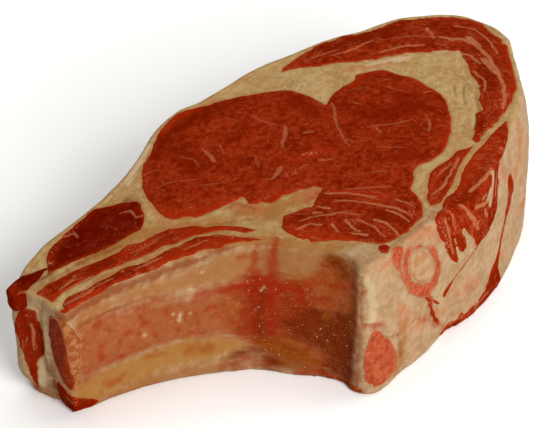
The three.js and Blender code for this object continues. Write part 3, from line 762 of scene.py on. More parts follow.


# Each lean piece on the cut face: its outline, the direction of its fibres in radians or the
# centre that they run round, how ragged its edge is, and its marks as lines of x, y and half
# width: pale veins, torn fibres (whose pale dots also serve as painted glints), brighter and
# darker lean.
LEAN_GROUP = ("eye_muscle", "inner_eye_muscle", "chine_muscle")
CUT_PIECES = {
    "eye_muscle": {
        "loop": EYE,
        "turn": -0.35,
        "ragged": 0.7,
        "vein": [
            [[-1.5, 43, 0.25], [-1.5, 38, 0.3], [0, 33, 0.35], [2.5, 28.5, 0.2]],
            [[3.5, 26.5, 0.6], [-0.5, 22.5, 0.9], [-6, 18, 0.7], [-9, 15, 0.2]],
            [[6.5, 17, 0.5], [9.5, 15, 0.4]], [[-34.5, 39, 0.3], [-35, 33.5, 0.8], [-36.5, 29, 1.0]],
            [[-27, 36, 0.25], [-30, 30, 0.2]], [[-19.5, 5, 0.9], [-23.5, 2.5, 1.1], [-27.5, 1.5, 0.5]],
            [[-30, 3.5, 0.3], [-27, 1, 0.4]], [[-4, -3, 0.5], [1, -6, 0.5]],
            [[-13, -1.5, 0.3], [-9.5, -2, 0.3]], [[-65.5, 44, 0.2], [-60, 44, 0.3], [-56.5, 42.5, 0.15]],
            [[-21.5, 19, 0.15], [-26, 12, 0.2]], [[-33, 16, 0.15], [-28, 14.5, 0.2]],
            [[-66, 33, 0.15], [-58, 30, 0.2], [-50, 24, 0.1]], [[-12, 50, 0.15], [-8, 44, 0.15]],
            [[-46, 44, 0.15], [-42, 36, 0.2], [-44, 30, 0.1]],
            [[-52, 20, 0.15], [-46, 15, 0.2], [-38, 12, 0.15]],
        ],
        "torn": [
            [[-7.5, 4.5, 1.2], [-2.5, 3, 1.6], [1.5, 2, 1.2]], [[-22.5, -1, 1.2], [-17, -2, 1.5]],
            [[-41, -5, 0.8], [-37, -5.5, 0.8]], [[-11, 56, 0.8]],
        ],
        "bright": [
            [[-75, 18, 2], [-70, 11, 3], [-60, 6, 3], [-48, 3, 2]], [[-42, -5, 2], [-30, -9, 2]],
            [[-38, 64, 2.5], [-26, 67.5, 2.5], [-14, 66, 1.5]], [[-10, 4, 2], [4, 1, 2.5]],
        ],
        "dark": [
            [[-52, 52, 4], [-36, 58, 4], [-18, 61, 4], [4, 56, 3]], [[22, 40, 4], [20, 24, 5]],
            [[-40, 44, 5], [-46, 30, 5]],
        ],
    },
    "inner_eye_muscle": {
        "loop": INNER_EYE,
        "turn": -0.35,
        "ragged": 0.6,
        "vein": [
            [[39, 22, 0.3], [40, 18, 0.4], [41, 15.5, 0.2]],
            [[30, 1, 0.2], [36.5, -3.5, 0.35], [43, -6.5, 0.35], [49, -8.5, 0.2]],
            [[32, -2.5, 0.5], [30.5, -6.5, 0.5]], [[57, -9.5, 0.3], [52.5, -16, 0.4], [47, -20, 0.3]],
            [[71, 5, 0.6], [74, 3.5, 0.4]],
            [
                [32.5, 26, 0.5], [31, 23, 0.5], [25, 17, 0.45], [19.5, 9, 0.45], [15.5, 1.5, 0.4],
                [13.5, -4, 0.25],
            ],
            [[16, 0, 0.3], [17, -3, 0.4]], [[-10.5, -25.5, 0.35], [-2, -32, 0.5], [5, -37.5, 0.3]],
            [[1, -39.5, 0.4], [-0.5, -43.5, 0.6]], [[2, -22, 0.2], [11, -28, 0.25]],
            [[48, 28, 0.2], [54, 24, 0.25]], [[60, 20, 0.2], [64, 12, 0.2]],
            [[22, -14, 0.2], [30, -22, 0.15]],
        ],
        "torn": [[[62, 27, 0.8], [66, 23, 0.8]], [[0, -42, 0.8]]],
        "bright": [
            [[50, 31, 2], [60, 35, 2], [70, 31, 2]], [[76, 18, 2], [76, 2, 2]],
            [[46, -31, 2], [58, -23, 2]],
        ],
        "dark": [
            [[34, 20, 4], [40, 4, 6], [56, 0, 6]], [[28, -20, 3], [30, -30, 2.5], [16, -20, 3]],
            [[64, -4, 5], [60, 10, 4]],
        ],
    },
    "chine_muscle": {
        "loop": CHINE_MUSCLE,
        "turn": -1.0,
        "ragged": 0.7,
        "vein": [
            [
                [-20, -29, 0.4], [-16.5, -31.5, 0.5], [-12.5, -36.5, 0.5], [-8, -44, 0.6], [-5, -50, 0.5],
                [-3, -58, 0.3],
            ],
            [
                [-39, -28, 0.4], [-34, -29.5, 0.35], [-27.5, -34, 0.45], [-22.5, -37.5, 0.3],
                [-18, -44, 0.2],
            ],
            [[-44, -30.5, 0.25], [-37.5, -32.5, 0.4], [-34.5, -36.5, 0.4]],
            [[-31.5, -28, 0.5], [-29, -30.5, 0.4]],
            [[-26, -41.5, 0.6], [-27, -46.5, 0.5], [-26.5, -50.5, 0.3]],
            [[-17, -49.5, 0.5], [-15.5, -56, 0.5], [-17, -64, 0.3]],
            [[-29.5, -49, 0.5], [-26, -54.5, 0.6]], [[-31.5, -39.5, 0.4], [-33, -44, 0.35]],
            [[-27, -26, 0.4], [-25, -31, 0.4]], [[-9, -48.5, 0.4], [-7, -54.5, 0.5], [-7, -60.5, 0.3]],
            [[-18, -22, 0.4], [-12, -28, 0.5], [-5, -38, 0.4]],
            [[-22, -44, 0.3], [-21, -52, 0.35], [-22, -60, 0.3]], [[0, -46, 0.4], [2, -54, 0.4]],
        ],
        "torn": [
            [[-30, -56, 1.2], [-27, -61, 1.2]], [[-26, -42, 1], [-23, -46, 1]],
            [[-4, -58, 1.4], [3, -52, 1]],
        ],
        "bright": [[[-45, -30, 3], [-40, -40, 2.5], [-33, -50, 2]], [[-14, -22, 2], [0, -42, 2]]],
        "dark": [
            [[-30, -44, 3], [-24, -58, 3]], [[-12, -48, 3], [-8, -58, 3]], [[-36, -26, 2], [-28, -30, 2]],
        ],
    },
    "cap_muscle": {
        "loop": CAP,
        "centre": (68, 12),
        "ragged": 1.3,
        "vein": [
            [
                [116, 37, 0.6], [118.5, 31.5, 1.2], [123, 28, 0.9], [124, 20.5, 1.2], [119.5, 8.5, 1.0],
                [113.5, -2, 1.0], [105, -13.5, 0.9], [97, -21.5, 1.0], [88, -28, 0.6],
            ],
            [[126.5, 27, 1.8], [124, 19, 1.6]], [[116, 8.5, 1.4], [110.5, -5, 1.6]],
            [[62, 57, 0.25], [72, 54, 0.5], [80, 54, 0.5], [88, 55, 0.35]],
            [[117.5, 46.5, 0.9], [114.5, 40.5, 0.8]], [[111.5, 22, 0.6], [114, 15, 0.8], [112, 7, 0.5]],
            [[96, 50, 0.3], [108, 44, 0.3], [114, 38, 0.5]],
            [[50, 63, 0.2], [60, 60, 0.35], [68, 58, 0.2]],
            [[82, 44, 0.4], [94, 42, 0.5], [104, 36, 0.5]],
            [[130, 40, 0.4], [136, 32, 0.5], [134, 22, 0.4], [126, 8, 0.4]],
            [[104, 4, 0.5], [101, -6, 0.5], [94, -12, 0.5]],
        ],
        "torn": [
            [[78, -30, 1.4], [70, -35, 1.4]], [[104, 27, 1], [111, 20, 1.2]],
            [[116, 44, 1.5], [112, 38, 1.2]], [[90, 36, 0.7], [98, 32, 0.7]],
            [[96, -20, 1], [88, -25, 1.2]], [[144, 42, 1]],
        ],
        "bright": [
            [[138, 12, 3], [126, -2, 3], [112, -15, 3], [98, -24, 3], [84, -31, 2]],
            [[144, 34, 2.5], [142, 46, 2.5], [128, 53, 2]], [[40, 63, 2], [54, 67, 1.5]],
        ],
        "dark": [
            [[64, 62, 3.5], [84, 60, 4.5], [100, 55, 4]], [[107, 35, 2.5], [109.5, 27, 2.5]],
            [[113, 9, 3], [106, -4, 3.5], [98, -12, 3]], [[122, 44, 3], [130, 36, 3]],
        ],
    },
    "flank_muscle_outer": {
        "loop": FLANK_OUTER,
        "turn": 0.1,
        "ragged": 0.5,
        "vein": [
            [[-88, 30.5, 0.3], [-83, 29.5, 0.45], [-84.5, 23.5, 0.4], [-81.5, 23, 0.3]],
            [[-111, 37, 0.6], [-108, 36.5, 0.6], [-109, 32.5, 0.4]],
            [[-78.5, 36, 0.3], [-77.5, 32.5, 0.3]],
        ],
        "torn": [[[-127, 29, 1.4], [-121, 34.5, 1.2]], [[-112, 38, 0.8], [-105, 39, 0.8]]],
        "bright": [
            [[-127, 30, 1.6], [-118, 36.5, 1.8], [-105, 40, 1.8], [-93, 42, 1.6], [-84, 37.5, 1.4]],
            [[-80, 27, 1], [-82, 21, 0.8]],
        ],
        "dark": [[[-116, 28, 5], [-100, 27, 6], [-88, 24, 5]]],
    },
    "flank_muscle_inner": {
        "loop": FLANK_INNER,
        "turn": -0.15,
        "ragged": 0.8,
        "vein": [
            [[-128, 10, 0.4], [-121, 9, 0.5], [-115.5, 6.5, 0.3]], [[-134, 13, 0.3], [-126, 13.5, 0.35]],
            [[-100, 8, 0.2], [-88, 6, 0.2]],
        ],
        "torn": [[[-100, 11.5, 0.8], [-93, 9, 1]], [[-140, 13, 0.8]]],
        "bright": [[[-104, 10, 1.5], [-90, 8, 1.5]], [[-76, 2, 1.5], [-62, -10, 1.5]]],
        "dark": [[[-126, 14, 1.5], [-112, 11, 1.5]], [[-90, 6, 1], [-80, 4, 1]]],
    },
    "back_muscle_inner": {
        "loop": BACK_INNER,
        "turn": 0.5,
        "ragged": 0.5,
        "vein": [
            [[13.5, -54, 0.4], [22.5, -52.5, 0.5], [32, -48, 0.4], [42, -43, 0.3]],
            [[26, -46, 0.3], [36, -43.5, 0.3]],
        ],
        "torn": [[[12, -56, 1], [18, -54, 0.8]]],
        "bright": [[[14, -52, 2], [26, -45, 2], [40, -41.5, 2]]],
        "dark": [[[24, -50, 1.5], [34, -46, 1.5]]],
    },
}
FLAP_MARKS = {
    "vein": [[[-146, 24, 0.3], [-140, 22, 0.3]]],
    "torn": [[[-138, 31, 0.8], [-133, 29, 0.8]]],
    "bright": [[[-148, 24, 2], [-145, 30, 1.5]]],
    "dark": [[[-140, 26, 3], [-134, 27, 3]]],
}


# Pieces on the wall, in arc length and height, which goes on past the cut edge across the top:
# first their outlines, then each piece's area, fibres' direction, depth and marks.
STRIP_UPPER = [
    [10.5, 57], [14, 56], [18, 56.5], [22, 57], [26, 57], [31, 57], [36.5, 58], [42, 58.5], [47.5, 58.5],
    [53, 59.5], [58, 60.5], [63.5, 61.5], [68.5, 62], [73.5, 63], [78, 63.5], [82, 63.5], [87, 64.5],
    [92, 65], [97, 65.5], [101, 66.5], [96.5, 68], [92.5, 69.5], [89, 71], [85.5, 72.5], [82, 73],
    [79, 73.5], [75.5, 73], [72, 72], [68.5, 71], [65, 70], [62, 69], [59, 68], [55.5, 67], [52.5, 66.5],
    [49.5, 66.5], [46, 66.5], [42.5, 66], [38.5, 65], [34, 64.5], [30.5, 63.5], [27.5, 63.5], [24.5, 64],
    [20, 63.5], [17, 62.5],
]
BACK_LOBES = [
    [202, 74.5], [205.5, 77.5], [214, 79], [222, 79], [228.5, 80], [235.5, 80.5], [242.5, 79.5],
    [248.5, 79], [254, 77.5], [260.5, 76], [266, 74.5], [272, 73], [279.5, 70.5], [275.5, 68.5],
    [267.5, 66.5], [262, 65], [257.5, 64], [253, 63], [250, 60], [250, 52.5], [248, 46.5], [246.5, 41.5],
    [241.5, 38], [234.5, 37.5], [227.5, 38], [219.5, 40], [216.5, 45], [212, 50.5], [209, 55],
    [208.5, 53], [210.5, 48.5], [211.5, 44], [209, 41.5], [206, 46], [204.5, 51], [206, 45], [207.5, 40],
    [207, 37], [204, 39.5], [200.5, 45.5], [197.5, 52], [194, 57.5], [191.5, 63], [190.5, 67.5],
    [194, 70.5], [198.5, 72],
]
LOBE_FAT = [
    [239.5, 69], [241.5, 64], [242, 57], [240, 50], [236, 50], [233, 55], [228, 58.5], [233, 60],
    [237, 61], [238, 64], [237, 67],
]
ARCH_RING = [
    [169, 62], [172, 63.5], [176, 63], [180, 62], [185, 59.5], [188.5, 57.5], [191, 55], [195, 48.5],
    [197, 42], [196.5, 37], [194, 33], [191, 31], [186, 30], [180, 33.5], [174.5, 39], [171, 46],
    [169.5, 53.5],
]
ARCH_HOLE = [
    [175, 59.5], [180, 59], [184.5, 55.5], [188, 50], [190.5, 44], [190, 40], [186.5, 39], [181.5, 41.5],
    [177, 46], [174, 52], [173.5, 57],
]
CHINE_MARROW = [
    [151.5, 32.5], [155, 31.5], [158.5, 27], [162.5, 22], [165, 15.5], [166.5, 9.5], [165, 5.5],
    [161, 4.5], [157, 3.5], [152.5, 4], [150, 5.5], [148.5, 9.5], [148.5, 14.5], [148.5, 21.5],
    [149.5, 27],
]
SPONGE = [
    [163, 68], [168.5, 69], [170.5, 64], [169.5, 58], [171, 51], [173.5, 45], [170.5, 45.5], [167, 52],
    [164.5, 57.5], [161.5, 64],
]
CHINE_TIP = [[160, 71], [161, 68], [163, 69], [165.5, 70.5], [165, 73], [162.5, 74.5], [160.5, 73]]
FOOT_EDGE = [
    [198, 1.5], [202, 4], [206, 6], [209, 5], [212, 8], [215, 5], [220, 6], [224, 5], [228, 8],
    [231.5, 7], [234, 10.5], [238, 9], [241, 13], [245, 12], [248, 7], [247, 0.4], [222, 0.2], [205, 0.3],
]
FOOT_SPURS = [
    [[186, 30.5, 1.3], [189.5, 28, 1.6], [190, 23, 0.9], [193.5, 15, 1.2], [198.5, 8, 0.8]],
    [[189.5, 28, 0.9], [193, 24, 0.8], [196.5, 21, 0.5]],
]
END_LEAN = [
    [-11.5, 46.5], [-9.5, 48.5], [-6, 49], [-4, 48.5], [-3.5, 44.5], [-3, 40], [-2.5, 35.5], [-2.5, 29],
    [-3, 25], [-5, 22.5], [-5.5, 18], [-6, 12.5], [-8, 4], [-8.5, 9.5], [-9, 15.5], [-10.5, 20],
    [-11.5, 25], [-12.5, 29.5], [-13.5, 35], [-13, 41],
]
END_LOW_LEAN = [
    [2, 11], [4.5, 15.5], [8, 14.5], [12, 11.5], [17, 9.5], [21, 7], [26, 3], [22, 0.8], [12, 0.6],
    [5, 0.6], [0.5, 4],
]
RIB_MARROW = [
    [4.5, 49.5], [9, 51.5], [11, 48.5], [12, 43.5], [12.5, 38.5], [13, 33.5], [13.5, 27.5], [14.5, 19.5],
    [13, 15.5], [10, 19], [8.5, 24.5], [5.5, 29], [4, 34.5], [3, 41.5],
]
RIB_END = [
    [3.5, 50.5], [9, 53], [13, 54], [15.5, 49], [18.5, 42.5], [20, 38.5], [19.5, 33.5], [17.5, 30],
    [17.5, 24], [18, 15], [15.5, 13.5], [12.5, 14.5], [9.5, 18], [7.5, 24], [5, 28.5], [3, 34.5],
    [2.2, 42],
]
WALL_PIECES = {
    "rib_muscle_upper": {
        "area": Area([STRIP_UPPER], ragged=1.0, size=4, seed=31),
        "turn": 0.12,
        "deep": 6,
        "vein": [
            [[14, 61, 0.3], [26, 60.5, 0.4], [38, 62, 0.3]], [[48, 63, 0.3], [60, 65.5, 0.4]],
            [[70, 67, 0.3], [80, 69.5, 0.35]],
        ],
        "torn": [
            [[66, 68.5, 0.8], [72, 70.5, 0.8]], [[44, 64.5, 0.7]], [[84, 71.5, 0.9], [90, 69, 0.8]],
            [[24, 62, 0.7], [34, 63.5, 0.6]],
        ],
        "bright": [[[60, 64, 2], [76, 67, 2.5], [92, 67.5, 2]], [[14, 58, 1], [30, 58.5, 1]]],
        "dark": [[[20, 60, 1], [46, 62.5, 1]], [[84, 67, 1.5]]],
    },
    "back_muscle_outer": {
        "area": Area([BACK_LOBES], less=[LOBE_FAT], ragged=0.9, size=3.5, seed=32),
        "turn": -1.1,
        "deep": 4.5,
        "vein": [
            [[218.5, 72.5, 0.9], [227, 70.5, 0.8], [239.5, 68, 0.9]],
            [[239.5, 68, 1.0], [240.5, 58.5, 1.6], [238, 52, 1.2]],
            [[238, 54, 1.4], [225, 59, 1.0], [215, 64, 0.9]],
            [[210, 63, 0.6], [214.5, 57, 1.2], [219, 50, 1.0]], [[206.5, 69, 0.5], [213, 60, 0.5]],
            [[226, 55, 0.9], [232, 48, 0.9]], [[197, 66, 0.4], [200, 56, 0.5], [203.5, 44, 0.4]],
            [[201, 66, 0.3], [204, 56, 0.4]], [[246, 62, 0.5], [245, 50, 0.5]],
            [[221, 64, 0.6], [228, 62, 0.8]],
        ],
        "torn": [
            [[193, 66, 1.2], [197, 58, 1.6], [201, 48, 1.2]], [[203, 62, 1.2], [205, 54, 0.8]],
            [[214, 56, 2.4], [222, 50, 2.4]], [[200, 70, 1.4]], [[232, 46, 1.5]],
        ],
        "bright": [
            [[212, 77, 2], [228, 78, 3], [246, 76, 3], [268, 72, 2]], [[224, 66, 3], [230, 66, 2]],
        ],
        "dark": [[[195, 64, 1.5], [202, 46, 1.5]], [[210, 72, 2], [214, 68, 2]], [[244, 46, 2]]],
    },
    "cap_strip_inner": {
        "area": Area(
            lines=[[
                [249.5, 54, 1.5], [243.5, 44, 1.5], [239, 39.5, 1.3], [229, 39, 0.9], [217.5, 39, 0.6],
                [211.5, 35, 0.6], [206.5, 30.5, 0.6], [203.5, 27, 1.1], [201, 24.5, 1.9],
                [200.5, 23, 1.4],
            ]],
            ragged=0.35, size=3, seed=33,
        ),
        "deep": 4,
    },
    "cap_strip_outer": {
        "area": Area(
            lines=[[
                [265, 46, 3], [266, 39.5, 3.5], [262, 33, 2.4], [257.5, 28, 1.2], [252, 23.5, 1.0],
                [248, 16, 2.0], [243, 11.5, 4], [238.5, 9, 4.2], [236.5, 6, 3],
            ]],
            ragged=0.6, size=3.5, seed=34,
        ),
        "deep": 4,
    },
    "foot_muscle": {
        "area": Area([FOOT_EDGE], FOOT_SPURS, ragged=0.8, size=3, seed=35),
        "turn": 1.0,
        "deep": 3,
        "vein": [
            [[205, 4, 0.4], [212, 5, 0.4]], [[222, 4, 0.4], [234, 5, 0.4]],
            [[189, 29, 0.5], [192, 22, 0.4]],
        ],
        "torn": [[[208, 5, 1.4], [214, 5, 1.4]], [[187, 29, 1.4], [190, 24, 1]]],
        "dark": [[[226, 4, 3], [240, 5, 3]]],
    },
    "chine_bone": {"area": Area([CHINE_MARROW], ragged=0.5, size=3, seed=36), "deep": 13},
    "arch_bone": {"area": Area([ARCH_RING], less=[ARCH_HOLE], ragged=1.7, size=4, seed=37), "deep": 11},
    "arch_core": {"area": Area([ARCH_HOLE], ragged=0.5, size=3, seed=37), "deep": 9},
}
# Further patches that belong to the nodes of other pieces.
EXTRA_PIECES = {
    "arch_sponge": {"area": Area([SPONGE], ragged=1.0, size=2.5, seed=38), "deep": 4},
    "chine_tip": {"area": Area([CHINE_TIP], ragged=0.4, size=3, seed=39), "deep": 4},
    "end_lean": {
        "area": Area([END_LEAN, END_LOW_LEAN], ragged=0.9, size=3.5, seed=40),
        "turn": 1.5,
        "deep": 5,
        "vein": [[[-5.8, 42, 0.4], [-5.8, 35, 0.5], [-6.1, 28, 0.3]], [[8, 9, 0.4], [13, 6, 0.4]]],
        "torn": [[[10, 13.5, 1], [15, 11, 1.2], [16, 6, 1]], [[-7, 46, 0.8]]],
        "bright": [[[-12, 44, 2], [-12, 34, 2], [-10, 22, 1.5]]],
        "dark": [[[-8, 46, 6], [-7, 30, 6], [-7, 10, 6]], [[4, 6, 8], [22, 5, 8]]],
    },
    "lower_band": {
        "area": Area(
            lines=[[[132, 1.5, 1.6], [140, 1.8, 2], [147, 2.2, 2]]], ragged=1.4, size=5, seed=42,
        ),
        "deep": 5,
        "torn": [[[134, 2.5, 1], [140, 2.5, 1.4]], [[146, 3, 1.4]]],
    },
    "rib_end": {"area": Area([RIB_END], ragged=0.45, size=3, seed=41), "deep": 5},
}
RIB_MARROW_AREA = Area([RIB_MARROW], ragged=0.5, size=3, seed=43)

PIECE_STEP, WALL_PIECE_STEP, FAT_STEP, LOWER_STEP = 0.7, 0.62, 0.8, 1.2
MARGIN = 1.0

# From this far outside its outline inwards a muscle is also held inside the roast's edge.
NEAR_RIM = -3.0


class CutArea(Area):
    """A muscle's area on the cut face, which stays within the roast's rounded edge."""

    def inside(self, points):
        found = super().inside(points)
        near = found > NEAR_RIM
        found[near] = np.minimum(found[near], inside_distance(points[near], ROAST_EDGE) - CUT_EDGE)
        return found


CUT_AREAS = {
    name: CutArea([spec["loop"]], ragged=spec["ragged"], seed=len(name))
    for name, spec in CUT_PIECES.items()
}
FLAP_OUTLINE = Outline.rows(TAIL_FLAP, PIECE_STEP).roughened(height=0.5, size=5, seed=92)
LOWER_OUTLINE = Outline.rows(RIB_LOWER, LOWER_STEP).roughened(height=0.6, size=6, seed=91)
# How each lean value is clipped, in millimetres.
RIM_RANGE = (-1, 8)
MARK_RANGES = {"vein": (-2, 4), "torn": (-3, 6), "bright": (-6, 8), "dark": (-8, 10)}


def lean_values(points, spec, inside):
    """What the lean's colours follow: millimetres in from the rim and to the nearest marks."""
    shift = np.column_stack([uneven_by(layer, *points.T) for layer in LEAN_SHIFT])
    near = {"vein": points + shift, "torn": points + shift, "bright": points, "dark": points}
    if "centre" in spec:
        away = points - spec["centre"]
        across = np.hypot(*away.T)
        along = np.arctan2(away[:, 1], away[:, 0]) * across.mean()
    else:
        turn = spec.get("turn", 0.0)
        along = points @ [np.cos(turn), np.sin(turn)]
        across = points @ [-np.sin(turn), np.cos(turn)]
    values = {"along": along, "across": across, "rim": np.clip(inside, *RIM_RANGE)}
    for key, limits in MARK_RANGES.items():
        values[key] = np.clip(path_distance(near[key], spec.get(key, [])), *limits)
    return values


# A piece's rim: how proud the piece is inside it, how far it dips, and how far it drops outside.
PROUD, RIM_DIP, RIM_DROP = 0.3, 0.5, 2.0
DIP_SPREAD, DROP_SPREAD = (-0.5, 0.9), (-MARGIN, -0.3)
# Two muscles that have grown together: how softly they join and how far one tucks under.
JOIN_SOFT, JOIN_TUCK, JOIN_SPREAD = 0.6, 0.35, (-0.5, 0.5)
TORN_SPREAD = (-1, 2)
VEIN_DEPTH, VEIN_SPREAD = 0.15, (-0.4, 0.8)
# Near the roast's edge a muscle ends a little below its face; elsewhere it goes down to a level
# just above the lower cut face, which differs between neighbours and rises at the rim.
THIN_EDGE, THIN, THICK = 4.0, 3.0, 7.0
UNDERSIDE, UNDERSIDE_STEP, UNDERSIDE_RISE, UNDERSIDE_SPREAD = 0.1, 0.04, 0.8, (-0.2, 0.8)


def rim_level(inside):
    """How far a piece stands out of the fat: it dips at its rim and is a little proud inside."""
    dropped = RIM_DROP * (1 - ease(DROP_SPREAD, inside))
    return (PROUD + RIM_DIP) * ease(DIP_SPREAD, inside) - RIM_DIP - dropped


def cut_shell(name):
    """A muscle from the lower to the upper cut face, with a soft rim, a crowned upper face and
    its own unevenness. Of two muscles that have grown together, the later lies over the other."""
    spec, area = CUT_PIECES[name], CUT_AREAS[name]

    def make(points):
        x, y = points.T
        own = area.inside(points)
        group = LEAN_GROUP if name in LEAN_GROUP else (name,)
        insides = [own if other == name else CUT_AREAS[other].inside(points) for other in group]
        inside = combine(insides, JOIN_SOFT)
        over = insides[group.index(name) + 1 :]
        tucked = JOIN_TUCK * ease(JOIN_SPREAD, np.max(over, axis=0)) if over else 0.0
        values = lean_values(points, spec, inside)
        edge = inside_distance(points, ROAST_EDGE)
        face = upper_face(x, y, edge) + top_relief(x, y)
        crown = CROWN * ease((0, CROWN_WIDTH), inside)
        torn = (1 - ease(TORN_SPREAD, values["torn"])) * uneven_by(TORN_CUT, x, y)
        vein = VEIN_DEPTH * (1 - ease(VEIN_SPREAD, values["vein"]))
        fine = uneven_by(LEAN_GRAIN, x, y) + uneven_by(LEAN_WAVES, x, y)
        joined = RIM_DROP * (1 - ease(DROP_SPREAD, own))
        upper = face + rim_level(inside) + crown + torn - vein + fine - tucked - joined
        deep = np.where(edge < THIN_EDGE, THIN, THICK)
        level = UNDERSIDE + UNDERSIDE_STEP * group.index(name)
        level = level + UNDERSIDE_RISE * (1 - ease(UNDERSIDE_SPREAD, inside))
        under = np.where((edge < THIN_EDGE) | (x < LOWER_START), upper - deep, level)
        return np.column_stack([points, upper]), np.column_stack([points, under]), values

    return Shell.slab(area, PIECE_STEP, MARGIN, make)


BONES = ("rib_end", "chine_bone", "arch_bone", "arch_sponge", "arch_core")
LOWEST, CORE_PROUD = 0.3, 0.3
MARROW_RANGE = (-4, 4)


def wall_shell(name, proud=0.0):
    """A piece let into the wall, which follows the wall's own unevenness."""
    spec = WALL_PIECES.get(name) or EXTRA_PIECES[name]

    def make(points):
        s, v = points.T
        v = np.maximum(v, LOWEST)
        inside = spec["area"].inside(points)
        values = lean_values(points, spec, inside)
        torn = (1 - ease(TORN_SPREAD, values["torn"])) * uneven_by(TORN_WALL, s, v)
        foot = CUT_EDGE * (1 - np.sqrt(1 - np.clip(1 - v / CUT_EDGE, 0, 1) ** 2))
        level = rim_level(inside) + proud + torn + uneven_by(WALL_LEAN_GRAIN, s, v) - foot
        if name in BONES:
            values = {"rim": values["rim"]}
        if name == "rib_end":
            values["marrow"] = np.clip(RIB_MARROW_AREA.inside(points), *MARROW_RANGE)
        return WALL.place(s, v, level), WALL.place(s, v, -spec["deep"] + 0 * s), values

    return Shell.slab(spec["area"], WALL_PIECE_STEP, MARGIN, make)


# The flap's section: how square it is sideways and upwards, its rings and how far it stands up.
FLAP_SQUARE, FLAP_RISE, FLAP_RINGS, FLAP_PROUD = 0.55, 0.8, 26, 0.8
# How far past the flap's own edge its lean is coloured as if it went, and how far its edge
# reaches over the fat.
FLAP_RIM, FLAP_OVER = 3, 1.0


def flap_shell():
    """The loose lean over the tail end: a lump whose section is a squared half oval."""
    outline = FLAP_OUTLINE
    turn = np.linspace(-np.pi / 2, np.pi / 2, FLAP_RINGS)
    points = outline.rings(np.maximum(np.cos(turn), 0) ** FLAP_SQUARE)
    x, y = points.T
    inside = inside_distance(points, outline.edge[::2])
    values = lean_values(points, FLAP_MARKS, inside + FLAP_RIM)
    share = 0.5 + 0.5 * np.sign(turn) * np.abs(np.sin(turn)) ** FLAP_RISE
    upper = cut_height(x) + FLAP_PROUD + uneven_by(FLAP_WAVES, x, y)
    z = TAIL_FLAP_UNDER + (upper - TAIL_FLAP_UNDER) * np.repeat(share, len(outline.edge))
    bumps = uneven_by(FLAP_BUMPS, x, y, z)
    return Shell.rings(np.column_stack([x + bumps, y - bumps, z]), FLAP_RINGS, values)


SINK, SINK_SPREAD = 1.8, (0.5, 1.8)


def sink_from(distance):
    """How deep the skin drops under a piece, from the distance inside the piece's outline."""
    return SINK * ease(SINK_SPREAD, distance)


def lean_inside(points):
    """Distance into the nearest muscle of the cut face, the folded pieces of the wall among them."""
    found = np.full(len(points), -FAR)
    for area in CUT_AREAS.values():
        found = np.maximum(found, area.inside(points))
    for loop in (BACK_LOBES, STRIP_UPPER):
        edge = rounded_loop(loop)
        folded = WALL.place(edge[:, 0], edge[:, 1], 0)[:, :2]
        found = np.maximum(found, inside_distance(points, folded))
    flap = inside_distance(points, FLAP_OUTLINE.edge[::2])
    return np.maximum(found, flap - FLAP_OVER)


def wall_inside(points):
    """Distance into the nearest piece that is let into the wall."""
    found = np.full(len(points), -FAR)
    for spec in (*WALL_PIECES.values(), *EXTRA_PIECES.values()):
        found = np.maximum(found, spec["area"].inside(points))
    return found


def paint_values(points, side):
    """Distances to every colour of the skin, on the wall or on the cut face."""
    wandering = points + np.column_stack([uneven_by(layer, *points.T) for layer in PAINT_SHIFT])
    return {key: -getattr(paint, side).inside(wandering) for key, paint in SKIN_PAINT.items()}


# The rows of the skin: how many go round its lower edge and up the wall, the heights past the
# cut edge of the last ones, and the rings of the lids under the lower and the upper face.
FOOT_ROWS, WALL_ROWS = 4, 84
OVER_EDGE = (-2, -1.4, -0.8, -0.2, 0.4, 1.0, 1.6, 2.2, 3.0, 3.8, 4.6, 5.4, 6.4)
UNDER_RINGS, OVER_RINGS = 15, 9
# How deep the upper lid lies, where the lids start, and the lower lid's heights and where it rises.
LID, LID_START = 3.0, -128.0
LID_UNDER, LID_RISE, LID_SPREAD = 0.2, 0.8, (2, 8)
# Where the skin passes under the fat of the cut face.
SEAM, SEAM_DROP = (4.0, 5.4), 0.8


